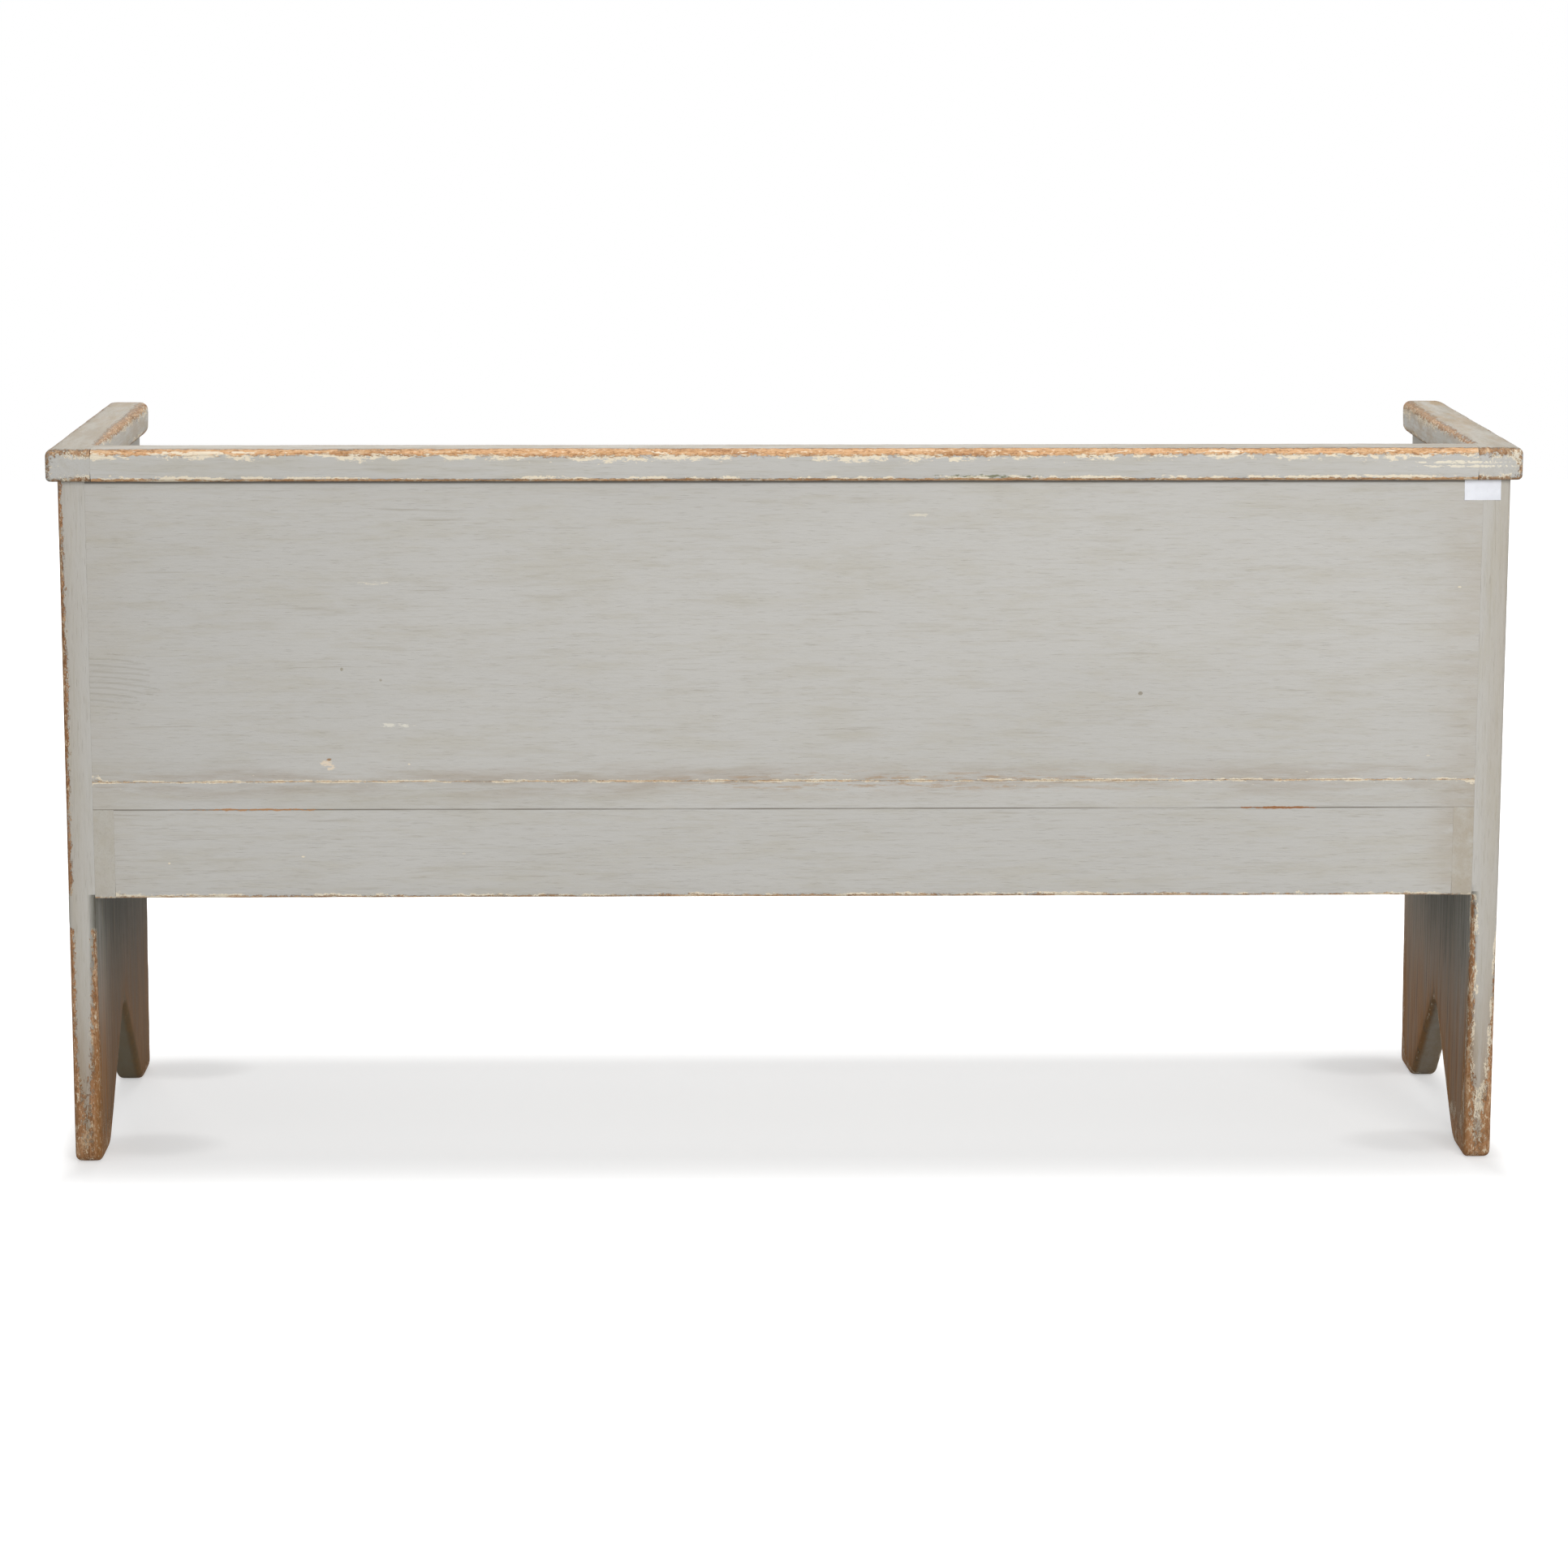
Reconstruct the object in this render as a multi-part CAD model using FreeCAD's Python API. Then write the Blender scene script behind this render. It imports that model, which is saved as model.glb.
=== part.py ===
import FreeCAD, Part
import math
import os

from FreeCAD import Vector

# A painted plank bench with a solid back, arms on plank ends and bootjack feet. All lengths are millimetres.
# X runs along the seat, the sitter faces -Y, and Z is up from the floor.
# The origin is on the floor, in the middle of the length, midway between the noses and the heels of the arms.

# Overall size
bench_width = 1700.0        # over the arms
bench_depth = 510.0         # nose to heel of an arm
bench_height = 850.0        # floor to the top of the arms

# Cap: the two arms and the back rail between them, all of one section
cap_width = 52.0
cap_thickness = 38.0
cap_overhang = 12.0         # past the ends and past the back
arm_nose_overhang = 33.0    # arm past the front edge of its end panel
cap_nose_radius = 15.0      # front corners seen from above
cap_heel_radius = 9.0       # rear corners seen from above
cap_top_radius = 8.0        # long edges on top
cap_under_radius = 5.0      # long edges underneath

# End panels
end_thickness = 32.0
foot_depth = 423.0          # front to back at the floor
foot_length = 74.0          # flat of each foot, front to back
foot_corner_radius = 12.0
end_edge_radius = 6.0
notch_side_angle = 47.0     # degrees, each side of the inverted V above the floor
notch_crown_radius = 22.0

# Back panel and seat board
back_thickness = 32.0
seat_height = 459.0         # floor to the top of the seat
seat_thickness = 33.0
seat_depth = 445.0          # rear face to the front edge
seat_nose_radius = 10.0
seat_nose_under_radius = 5.0

# Frame under the seat
apron_height = 106.0
apron_thickness = 24.0
apron_setback = 18.0        # front apron behind the seat's front edge
apron_edge_radius = 4.0
bearer_thickness = 24.0
brace_thickness = 28.0
brace_height = 80.0
block_side = 30.0
block_height = 84.0
cleat_side = 25.0
arris = 1.2                 # eased edges beside the flush joints

# Tenons, tongues and the mortises that take them
tenon_play = 0.15           # all round, filled with glue
mortise_room = 1.0          # past the end of a tenon
arm_tenon_thickness = 12.0
arm_tenon_width = 70.0
arm_tenon_length = 20.0
rail_tenon_thickness = 13.0
rail_tenon_width = 30.0
rail_tenon_length = 20.0
tongue_thickness = 10.0
tongue_length = 10.0
tongue_stop = 30.0          # a tongue ends this far short of a visible edge
brace_tenon_thickness = 12.0
brace_tenon_width = 50.0
brace_tenon_length = 12.0

# Countersunk wood screws, drawn with a few flats instead of round
screw_sides = 8
screw_head_radius = 4.0
screw_head_height = 2.6
screw_shank_radius = 2.1
screw_tip_radius = 0.6
screw_tip_length = 6.0
screw_length = 40.0
screw_sink = 0.4            # head below the face of the wood
screw_play = 0.1

# Places along, or along and across, the board that carries each fixing
arm_tenon_shares = (0.22, 0.76)
bearer_screw_shares = ((0.25, 0.3), (0.5, 0.7), (0.75, 0.3))
block_apron_screw_share = 0.3
block_bearer_screw_share = 0.68
cleat_screw_shares = (0.12, 0.62)
seat_screw_shares = (0.38, 0.88)

# Planes that the boards share
rear_face = bench_depth / 2 - cap_overhang
end_outside = bench_width / 2 - cap_overhang
end_inside = end_outside - end_thickness
end_middle = end_inside + end_thickness / 2
cap_heel = bench_depth / 2
cap_nose = -bench_depth / 2
arm_inside = bench_width / 2 - cap_width
rail_front = cap_heel - cap_width
cap_underside = bench_height - cap_thickness
panel_top_front = cap_nose + arm_nose_overhang
foot_front = rear_face - foot_depth
back_middle = rear_face - back_thickness / 2
seat_underside = seat_height - seat_thickness
seat_middle = seat_height - seat_thickness / 2
seat_front = rear_face - seat_depth
frame_underside = seat_underside - apron_height
bearer_inside = end_inside - bearer_thickness
front_apron_front = seat_front + apron_setback
front_apron_rear = front_apron_front + apron_thickness
back_apron_front = rear_face - apron_thickness
block_inside = bearer_inside - block_side
brace_side = brace_thickness / 2

sides = {"left": -1, "right": 1}
boards = {}                 # one solid for each board, by name
screws = {}                 # the solids of each group of screws, by name
cuts = {}                   # what is cut out of each board, by name

ALONG_X = Vector(1, 0, 0)
ALONG_Y = Vector(0, 1, 0)
ALONG_Z = Vector(0, 0, 1)


def rounded_face(corners):
    """A flat face with straight sides. Each corner is a point and the radius that rounds it."""
    edges = []
    first = last = None
    for i, (point, radius) in enumerate(corners):
        to_previous = (corners[i - 1][0] - point).normalize()
        to_next = (corners[(i + 1) % len(corners)][0] - point).normalize()
        start = end = point
        if radius:
            half_angle = to_previous.getAngle(to_next) / 2
            reach = radius / math.tan(half_angle)
            to_centre = (to_previous + to_next).normalize()
            start = point + to_previous * reach
            end = point + to_next * reach
            middle = point + to_centre * (radius / math.sin(half_angle) - radius)
        if last:
            edges.append(Part.LineSegment(last, start).toShape())
        if radius:
            edges.append(Part.Arc(start, middle, end).toShape())
        first = first or start
        last = end
    edges.append(Part.LineSegment(last, first).toShape())
    return Part.Face(Part.Wire(edges))


def board_between(x_planes, y_planes, z_planes):
    """A squared board between three pairs of planes, each pair in either order."""
    low, high = (Vector(*[pick(p) for p in (x_planes, y_planes, z_planes)]) for pick in (min, max))
    size = high - low
    return Part.makeBox(size.x, size.y, size.z, low)


def edges_where(shape, test):
    """The edges whose middle point passes the test."""
    return [
        e for e in shape.Edges if test(e.valueAt((e.FirstParameter + e.LastParameter) / 2))
    ]


def near(a, b):
    """Whether two places are the same, against the smallest length of the bench."""
    return abs(a - b) < screw_play / 10


def between(low, high, share):
    return low + (high - low) * share


def box_at(centre, size):
    return Part.makeBox(size.x, size.y, size.z, centre - size / 2)


def add_tenon(board, into, root, outward, across, length):
    """A tenon or tongue on one board and its mortise or groove in another.

    root is the middle of the tenon where it leaves its board, across its two sizes there.
    """
    along = Vector(abs(outward.x), abs(outward.y), abs(outward.z))
    sideways = ALONG_X + ALONG_Y + ALONG_Z - along
    depth = length + mortise_room
    tenon = box_at(root + outward * (length / 2), across + along * length)
    mortise = box_at(
        root + outward * (depth / 2),
        across + sideways * (2 * tenon_play) + along * depth,
    )
    boards[board] = boards[board].fuse(tenon)
    cuts.setdefault(into, []).append(mortise)


def screw_solid(play, above):
    """A screw along Z, its head up and level with zero, with play all round."""
    sections = [
        (screw_head_radius + play, above),
        (screw_shank_radius + play, -screw_head_height),
        (screw_shank_radius + play, screw_tip_length - screw_length),
        (screw_tip_radius + play, -screw_length - play),
    ]
    if above:
        sections.insert(1, (screw_head_radius + play, -play))
    turn = 2 * math.pi / screw_sides
    rings = [
        [
            Vector(radius * math.cos(i * turn), radius * math.sin(i * turn), height)
            for i in range(screw_sides + 1)
        ]
        for radius, height in sections
    ]
    flats = [Part.Face(Part.makePolygon(ring)) for ring in (rings[0], rings[-1])]
    for upper, lower in zip(rings, rings[1:]):
        for i in range(screw_sides):
            corners = [upper[i], upper[i + 1], lower[i + 1], lower[i], upper[i]]
            flats.append(Part.Face(Part.makePolygon(corners)))
    return Part.Solid(Part.Shell(flats))


def add_screw(group, entry, direction, into):
    """A countersunk screw driven in a direction from a point on a board's face, and its hole."""
    place = FreeCAD.Placement(
        entry + direction * screw_sink, FreeCAD.Rotation(ALONG_Z, -direction)
    )
    screw = screw_solid(0, 0)
    screw.Placement = place
    screws.setdefault(group, []).append(screw)
    for name in into:
        hole = screw_solid(screw_play, screw_sink + screw_head_height)
        hole.Placement = place
        cuts.setdefault(name, []).append(hole)


# End panels: one wide upright board each, cut with an inverted V at the foot
def end_panel(side):
    notch_half = foot_depth / 2 - foot_length
    notch_rise = notch_half * math.tan(math.radians(notch_side_angle))
    middle = rear_face - foot_depth / 2
    x = side * end_inside
    outline = [
        (Vector(x, rear_face, cap_underside), 0),
        (Vector(x, panel_top_front, cap_underside), 0),
        (Vector(x, foot_front, 0), foot_corner_radius),
        (Vector(x, middle - notch_half, 0), foot_corner_radius),
        (Vector(x, middle, notch_rise), notch_crown_radius),
        (Vector(x, middle + notch_half, 0), foot_corner_radius),
        (Vector(x, rear_face, 0), foot_corner_radius),
    ]
    panel = rounded_face(outline).extrude(Vector(side * end_thickness, 0, 0))
    for face_x in (side * end_inside, side * end_outside):
        rim = edges_where(
            panel, lambda p: near(p.x, face_x) and not near(p.z, cap_underside)
        )
        panel = panel.makeFillet(end_edge_radius, rim)
    # Above the frame the inner rear edge stays square, because the back lies flush against it.
    flush_edge = board_between(
        (x, x + side * end_edge_radius),
        (rear_face - end_edge_radius, rear_face),
        (frame_underside, cap_underside),
    )
    return panel.fuse(flush_edge).removeSplitter()


for name, side in sides.items():
    boards["end_panel_" + name] = end_panel(side)


# Cap: rounded over as one frame after it is glued up, so its three boards are parted from one shape
def cap_frame():
    outer = bench_width / 2
    outline = [
        (Vector(outer, cap_heel, cap_underside), cap_heel_radius),
        (Vector(-outer, cap_heel, cap_underside), cap_heel_radius),
        (Vector(-outer, cap_nose, cap_underside), cap_nose_radius),
        (Vector(-arm_inside, cap_nose, cap_underside), cap_nose_radius),
        (Vector(-arm_inside, rail_front, cap_underside), 0),
        (Vector(arm_inside, rail_front, cap_underside), 0),
        (Vector(arm_inside, cap_nose, cap_underside), cap_nose_radius),
        (Vector(outer, cap_nose, cap_underside), cap_nose_radius),
    ]
    frame = rounded_face(outline).extrude(Vector(0, 0, cap_thickness))
    top = edges_where(frame, lambda p: near(p.z, bench_height))
    frame = frame.makeFillet(cap_top_radius, top)
    under = edges_where(frame, lambda p: near(p.z, cap_underside))
    return frame.makeFillet(cap_under_radius, under)


cap = cap_frame()
cap_height_planes = (cap_underside, bench_height)
for name, side in sides.items():
    arm_planes = (side * arm_inside, side * bench_width / 2)
    boards["arm_" + name] = cap.common(
        board_between(arm_planes, (cap_nose, cap_heel), cap_height_planes)
    )
boards["back_rail"] = cap.common(
    board_between((-arm_inside, arm_inside), (rail_front, cap_heel), cap_height_planes)
)


# Seat board: between the ends, on the bearers and aprons, with a rounded front edge
def seat_board():
    seat = board_between(
        (-end_inside, end_inside), (seat_front, rear_face), (seat_underside, seat_height)
    )
    nose = edges_where(seat, lambda p: near(p.y, seat_front) and near(p.z, seat_height))
    seat = seat.makeFillet(seat_nose_radius, nose)
    lip = edges_where(seat, lambda p: near(p.y, seat_front) and near(p.z, seat_underside))
    seat = seat.makeFillet(seat_nose_under_radius, lip)
    rear = edges_where(seat, lambda p: near(p.y, rear_face) and near(p.x, 0))
    return seat.makeChamfer(arris, rear)


boards["seat_board"] = seat_board()


# Back panel: one wide board that stands on the seat, between the ends and under the rail
def back_panel():
    panel = board_between(
        (-end_inside, end_inside),
        (rear_face - back_thickness, rear_face),
        (seat_height, cap_underside),
    )
    foot = edges_where(panel, lambda p: near(p.y, rear_face) and near(p.z, seat_height))
    return panel.makeChamfer(arris, foot)


boards["back_panel"] = back_panel()


# Frame under the seat: aprons front and back, between bearers that run along the ends
def apron(outer_face, inner_face):
    board = board_between(
        (-bearer_inside, bearer_inside),
        (outer_face, inner_face),
        (frame_underside, seat_underside),
    )
    lower = edges_where(board, lambda p: near(p.y, outer_face) and near(p.z, frame_underside))
    board = board.makeFillet(apron_edge_radius, lower)
    upper = edges_where(board, lambda p: near(p.y, outer_face) and near(p.z, seat_underside))
    return board.makeChamfer(arris, upper)


def seat_bearer(side):
    board = board_between(
        (side * bearer_inside, side * end_inside),
        (front_apron_front, rear_face),
        (frame_underside, seat_underside),
    )
    ends = edges_where(
        board,
        lambda p: near(p.z, frame_underside)
        and (near(p.y, front_apron_front) or near(p.y, rear_face)),
    )
    return board.makeFillet(apron_edge_radius, ends)


boards["back_apron"] = apron(rear_face, back_apron_front)
boards["front_apron"] = apron(front_apron_front, front_apron_rear)
for name, side in sides.items():
    boards["seat_bearer_" + name] = seat_bearer(side)
boards["cross_brace"] = board_between(
    (-brace_side, brace_side),
    (front_apron_rear, back_apron_front),
    (seat_underside - brace_height, seat_underside),
)

# Corner blocks and cleats: square battens against the seat, along the inside of each apron
apron_rows = {"front": (front_apron_rear, 1), "back": (back_apron_front, -1)}
for row, (apron_face, inward) in apron_rows.items():
    for name, side in sides.items():
        boards[f"corner_block_{row}_{name}"] = board_between(
            (side * block_inside, side * bearer_inside),
            (apron_face, apron_face + inward * block_side),
            (seat_underside - block_height, seat_underside),
        )
        boards[f"seat_cleat_{row}_{name}"] = board_between(
            (side * brace_side, side * block_inside),
            (apron_face, apron_face + inward * cleat_side),
            (seat_underside - cleat_side, seat_underside),
        )

# Tenons on top of the ends into the arms, and on the ends of the rail into the arms
for name, side in sides.items():
    for share in arm_tenon_shares:
        root = Vector(
            side * end_middle, between(panel_top_front, rear_face, share), cap_underside
        )
        across = Vector(arm_tenon_thickness, arm_tenon_width, 0)
        add_tenon("end_panel_" + name, "arm_" + name, root, ALONG_Z, across, arm_tenon_length)
    root = Vector(side * arm_inside, cap_heel - cap_width / 2, cap_underside + cap_thickness / 2)
    across = Vector(0, rail_tenon_width, rail_tenon_thickness)
    add_tenon("back_rail", "arm_" + name, root, ALONG_X * side, across, rail_tenon_length)

# Tongues round the back panel: up into the rail, down into the seat and out into the ends
top_run = 2 * (arm_inside - tongue_stop)
across = Vector(top_run, tongue_thickness, 0)
top_root = Vector(0, back_middle, cap_underside)
foot_root = Vector(0, back_middle, seat_height)
add_tenon("back_panel", "back_rail", top_root, ALONG_Z, across, tongue_length)
add_tenon("back_panel", "seat_board", foot_root, -ALONG_Z, across, tongue_length)
for name, side in sides.items():
    root = Vector(side * end_inside, back_middle, (seat_height + cap_underside) / 2)
    across = Vector(0, tongue_thickness, cap_underside - seat_height - 2 * tongue_stop)
    add_tenon("back_panel", "end_panel_" + name, root, ALONG_X * side, across, tongue_length)

# Tongues on the ends of the seat, and tenons on the ends of the cross brace
for name, side in sides.items():
    root = Vector(side * end_inside, (seat_front + rear_face) / 2, seat_middle)
    across = Vector(0, seat_depth - 2 * tongue_stop, tongue_thickness)
    add_tenon("seat_board", "end_panel_" + name, root, ALONG_X * side, across, tongue_length)
for row, (apron_face, inward) in apron_rows.items():
    root = Vector(0, apron_face, seat_underside - brace_height / 2)
    across = Vector(brace_tenon_thickness, 0, brace_tenon_width)
    add_tenon(
        "cross_brace", row + "_apron", root, ALONG_Y * -inward, across, brace_tenon_length
    )

# Screws from the inside through the bearers into the ends
for name, side in sides.items():
    for along, up in bearer_screw_shares:
        entry = Vector(
            side * bearer_inside,
            between(front_apron_front, rear_face, along),
            between(frame_underside, seat_underside, up),
        )
        into = ("seat_bearer_" + name, "end_panel_" + name)
        add_screw("bearer_screws", entry, ALONG_X * side, into)

# Screws through the corner blocks into aprons and bearers, and through the cleats into aprons and seat
for row, (apron_face, inward) in apron_rows.items():
    for name, side in sides.items():
        block = f"corner_block_{row}_{name}"
        cleat = f"seat_cleat_{row}_{name}"
        block_underside = seat_underside - block_height
        entry = Vector(
            side * (block_inside + block_side / 2),
            apron_face + inward * block_side,
            between(block_underside, seat_underside, block_apron_screw_share),
        )
        add_screw("block_screws", entry, ALONG_Y * -inward, (block, row + "_apron"))
        entry = Vector(
            side * block_inside,
            apron_face + inward * block_side / 2,
            between(block_underside, seat_underside, block_bearer_screw_share),
        )
        add_screw("block_screws", entry, ALONG_X * side, (block, "seat_bearer_" + name))
        for share in cleat_screw_shares:
            entry = Vector(
                side * between(brace_side, block_inside, share),
                apron_face + inward * cleat_side,
                seat_underside - cleat_side / 2,
            )
            add_screw("cleat_screws", entry, ALONG_Y * -inward, (cleat, row + "_apron"))
        for share in seat_screw_shares:
            entry = Vector(
                side * between(brace_side, block_inside, share),
                apron_face + inward * cleat_side / 2,
                seat_underside - cleat_side,
            )
            add_screw("seat_screws", entry, ALONG_Z, (cleat, "seat_board"))

# Every board with what is cut out of it, and every group of screws, to its own file
os.makedirs("parts", exist_ok=True)
for name, board in boards.items():
    solid = board.cut(cuts[name]) if name in cuts else board
    solid.exportStep(f"parts/{name}.step")
for name, pieces in screws.items():
    Part.makeCompound(pieces).exportStep(f"parts/{name}.step")
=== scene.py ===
import math

import bmesh
import bpy
import numpy as np
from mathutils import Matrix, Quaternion, Vector


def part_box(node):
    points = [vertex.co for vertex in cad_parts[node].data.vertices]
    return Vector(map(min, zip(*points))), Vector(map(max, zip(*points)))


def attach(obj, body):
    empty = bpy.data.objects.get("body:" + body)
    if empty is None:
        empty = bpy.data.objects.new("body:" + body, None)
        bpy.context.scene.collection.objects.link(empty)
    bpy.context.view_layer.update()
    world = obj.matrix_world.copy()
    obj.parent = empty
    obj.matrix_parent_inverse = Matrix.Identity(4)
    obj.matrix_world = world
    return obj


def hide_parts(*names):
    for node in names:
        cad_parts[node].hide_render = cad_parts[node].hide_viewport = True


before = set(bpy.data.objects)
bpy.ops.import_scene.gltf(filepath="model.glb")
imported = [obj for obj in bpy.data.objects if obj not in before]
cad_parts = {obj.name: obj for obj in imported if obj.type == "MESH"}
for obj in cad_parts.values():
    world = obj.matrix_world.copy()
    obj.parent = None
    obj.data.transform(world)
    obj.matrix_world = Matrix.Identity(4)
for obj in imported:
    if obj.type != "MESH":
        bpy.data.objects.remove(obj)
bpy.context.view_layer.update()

# The photograph's view. The bench is seen from behind, from above the height of its rail and
# a little to the left of its middle, by a long lens that is kept nearly level.
def set_up(name, data, place, direction):
    """Put a camera or a lamp in its place, and point it."""
    stand = bpy.data.objects.new(name, data)
    bpy.context.scene.collection.objects.link(stand)
    stand.location = place
    stand.rotation_mode = "QUATERNION"
    stand.rotation_quaternion = direction.to_track_quat("-Z", "Y")
    return stand


camera_data = bpy.data.cameras.new("view")
camera_pitch = math.radians(9.071)
camera_turn = math.radians(0.626)
camera_data.sensor_width = 36.0
camera_data.lens = 90.464
camera_data.shift_x = 0.03
camera_data.shift_y = -0.12
looking = Vector(
    (
        -math.sin(camera_turn) * math.cos(camera_pitch),
        -math.cos(camera_turn) * math.cos(camera_pitch),
        -math.sin(camera_pitch),
    )
)
camera_place = (0.105, 4.743, 1.396)
bpy.context.scene.camera = set_up("view", camera_data, camera_place, looking)
bpy.context.scene.view_settings.view_transform = "Standard"

# The studio. A white cove lights the bench from all round, one wide soft lamp stands behind the
# camera, and one hangs overhead and throws the soft shadow between the feet.
cove_strength = 0.34
studio = bpy.data.worlds.new("studio")
bpy.context.scene.world = studio
studio.use_nodes = True
nodes, links = studio.node_tree.nodes, studio.node_tree.links
nodes.clear()
cove_light = nodes.new("ShaderNodeBackground")
cove_light.inputs["Color"].default_value = (1, 1, 1, 1)
cove_light.inputs["Strength"].default_value = cove_strength
cove_seen = nodes.new("ShaderNodeBackground")
cove_seen.inputs["Color"].default_value = (1, 1, 1, 1)
cove_seen.inputs["Strength"].default_value = 1.0
rays = nodes.new("ShaderNodeLightPath")
seen = nodes.new("ShaderNodeMath")
seen.operation = "MAXIMUM"
cove = nodes.new("ShaderNodeMixShader")
cove_out = nodes.new("ShaderNodeOutputWorld")
links.new(rays.outputs["Is Camera Ray"], seen.inputs[0])
links.new(rays.outputs["Is Glossy Ray"], seen.inputs[1])
links.new(seen.outputs[0], cove.inputs["Fac"])
links.new(cove_light.outputs[0], cove.inputs[1])
links.new(cove_seen.outputs[0], cove.inputs[2])
links.new(cove.outputs[0], cove_out.inputs["Surface"])

# Each lamp has its place, what it points at, its width and height in metres, and its watts.
for lamp_name, place, target, width, height, power in (
    ("wide_lamp", (-1.3, 4.6, 2.6), (0, 0, 0.45), 3.4, 2.2, 156.0),
    ("front_lamp", (0.8, -4.4, 2.8), (0, 0, 0.45), 3.4, 2.2, 95.0),
    ("overhead_lamp", (0.0, 0.02, 3.4), (0, 0, 0), 1.3, 0.7, 42.0),
):
    lamp_data = bpy.data.lights.new(lamp_name, "AREA")
    lamp_data.shape = "RECTANGLE"
    lamp_data.size = width
    lamp_data.size_y = height
    lamp_data.energy = power
    set_up(lamp_name, lamp_data, place, Vector(target) - Vector(place))


# End panels. Each is one wide upright pine board that stands on two feet, parted by an inverted V.
# The edges are rounded over by hand, and the paint has gone from them and from the ends of the feet.
X, Y, Z = 0, 1, 2
SIDES = {"left": -1, "right": 1}


def start_edit(piece):
    """Go into edit mode on this piece alone."""
    bpy.ops.object.select_all(action="DESELECT")
    bpy.context.view_layer.objects.active = piece
    piece.select_set(True)
    bpy.ops.object.mode_set(mode="EDIT")
    bpy.ops.mesh.select_mode(type="EDGE")


def end_edit():
    bpy.ops.object.mode_set(mode="OBJECT")


def block(name, low, high):
    """A squared block of wood between two corners."""
    low, high = Vector(low), Vector(high)
    bpy.ops.mesh.primitive_cube_add(size=1, location=(low + high) / 2, scale=high - low)
    piece = bpy.context.object
    piece.name = piece.data.name = name
    bpy.ops.object.transform_apply()
    return piece


def near(a, b, within=1e-5):
    return abs(a - b) < within


def lies_on(point, place):
    """Whether a point lies on all the planes in {axis: value}."""
    return all(near(point[axis], value) for axis, value in place.items())


def on(*places):
    """A test for the edges that lie on one of the places, each of them {axis: value}."""
    return lambda a, b: any(lies_on(a, place) and lies_on(b, place) for place in places)


def select_edges(test):
    """In edit mode, select just the edges whose two ends pass the test together."""
    bpy.ops.mesh.select_all(action="DESELECT")
    mesh = bmesh.from_edit_mesh(bpy.context.object.data)
    for edge in mesh.edges:
        edge.select_set(bool(test(edge.verts[0].co, edge.verts[1].co)))
    bmesh.update_edit_mesh(bpy.context.object.data)


def pull(move, reach):
    """Move what is selected, and draw along softly what lies within reach of it."""
    bpy.ops.transform.translate(
        value=move,
        use_proportional_edit=True,
        proportional_edit_falloff="SMOOTH",
        proportional_size=reach,
    )


def select_points(test):
    """In edit mode, select just the points of the mesh that pass the test."""
    bpy.ops.mesh.select_mode(type="VERT")
    bpy.ops.mesh.select_all(action="DESELECT")
    mesh = bmesh.from_edit_mesh(bpy.context.object.data)
    for point in mesh.verts:
        point.select_set(test(point.co))
    bmesh.update_edit_mesh(bpy.context.object.data)


def round_over(test, radius, steps):
    """Round the edges that pass the test."""
    select_edges(test)
    bpy.ops.mesh.bevel(offset=radius, segments=steps, affect="EDGES")


def saw_along(point, normal, keep=-1):
    """Saw the whole piece along a plane. keep is the side to keep, -1 or 1, or None for both."""
    bpy.ops.mesh.select_all(action="SELECT")
    bpy.ops.mesh.bisect(
        plane_co=point,
        plane_no=normal,
        use_fill=keep is not None,
        clear_inner=keep == 1,
        clear_outer=keep == -1,
    )


def cut_through(axis, value, keep=None):
    """Saw the whole piece across an axis, or just cut its faces in two there."""
    normal = Vector((0, 0, 0))
    normal[axis] = 1
    saw_along(normal * value, normal, keep)


def cut_out(piece, tool):
    """Take the shape of a tool out of a piece, and put the tool away."""
    cut = piece.modifiers.new("cut", "BOOLEAN")
    cut.operation = "DIFFERENCE"
    cut.solver = "EXACT"
    cut.object = tool
    bpy.context.view_layer.objects.active = piece
    bpy.ops.object.modifier_apply(modifier=cut.name)
    bpy.data.objects.remove(tool)


def slice_up(axis, low, high, spacing):
    """Cut a piece across an axis every so often, so that its edges can wander a little."""
    count = max(1, round((high - low) / spacing))
    for i in range(1, count):
        cut_through(axis, low + (high - low) * i / count)


def mark_wear(piece, corner_lines):
    """Mark how far the paint is rubbed back, from lines along the corners of the wood.

    Each line is its two ends and how far in the paint has gone at each of them. Three values go
    to the material, in millimetres: how far a point lies within the rub, how ragged the edge of
    the rub is there, and the way to the nearest corner. Returned is the way to the nearest corner
    that is rubbed enough to be blunt, for each point.
    """
    blunt_rub = 0.002
    mesh = piece.data
    points = np.empty(len(mesh.vertices) * 3)
    mesh.vertices.foreach_get("co", points)
    points = points.reshape(-1, 3)
    worn = np.full(len(points), -1.0)
    ragged = np.zeros(len(points))
    corner = np.full(len(points), 1.0)
    blunt = np.full(len(points), 1.0)
    for start, end, worn_at_start, worn_at_end in corner_lines:
        start, end = np.array(start), np.array(end)
        along = end - start
        share = np.clip((points - start) @ along / (along @ along), 0, 1)
        away = np.linalg.norm(points - start - share[:, None] * along, axis=1)
        reach = worn_at_start + (worn_at_end - worn_at_start) * share
        ragged = np.where(reach - away > worn, 0.0002 + 0.4 * np.maximum(reach, 0), ragged)
        worn = np.maximum(worn, reach - away)
        if worn_at_end > 0:
            corner = np.minimum(corner, away)
        if worn_at_end > blunt_rub:
            blunt = np.minimum(blunt, away)
    for name, values in (("worn", worn), ("ragged", ragged), ("corner", corner)):
        layer = mesh.attributes.new(name, "FLOAT", "POINT")
        layer.data.foreach_set("value", (values * 1000).astype(np.float32))
    return blunt


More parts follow.
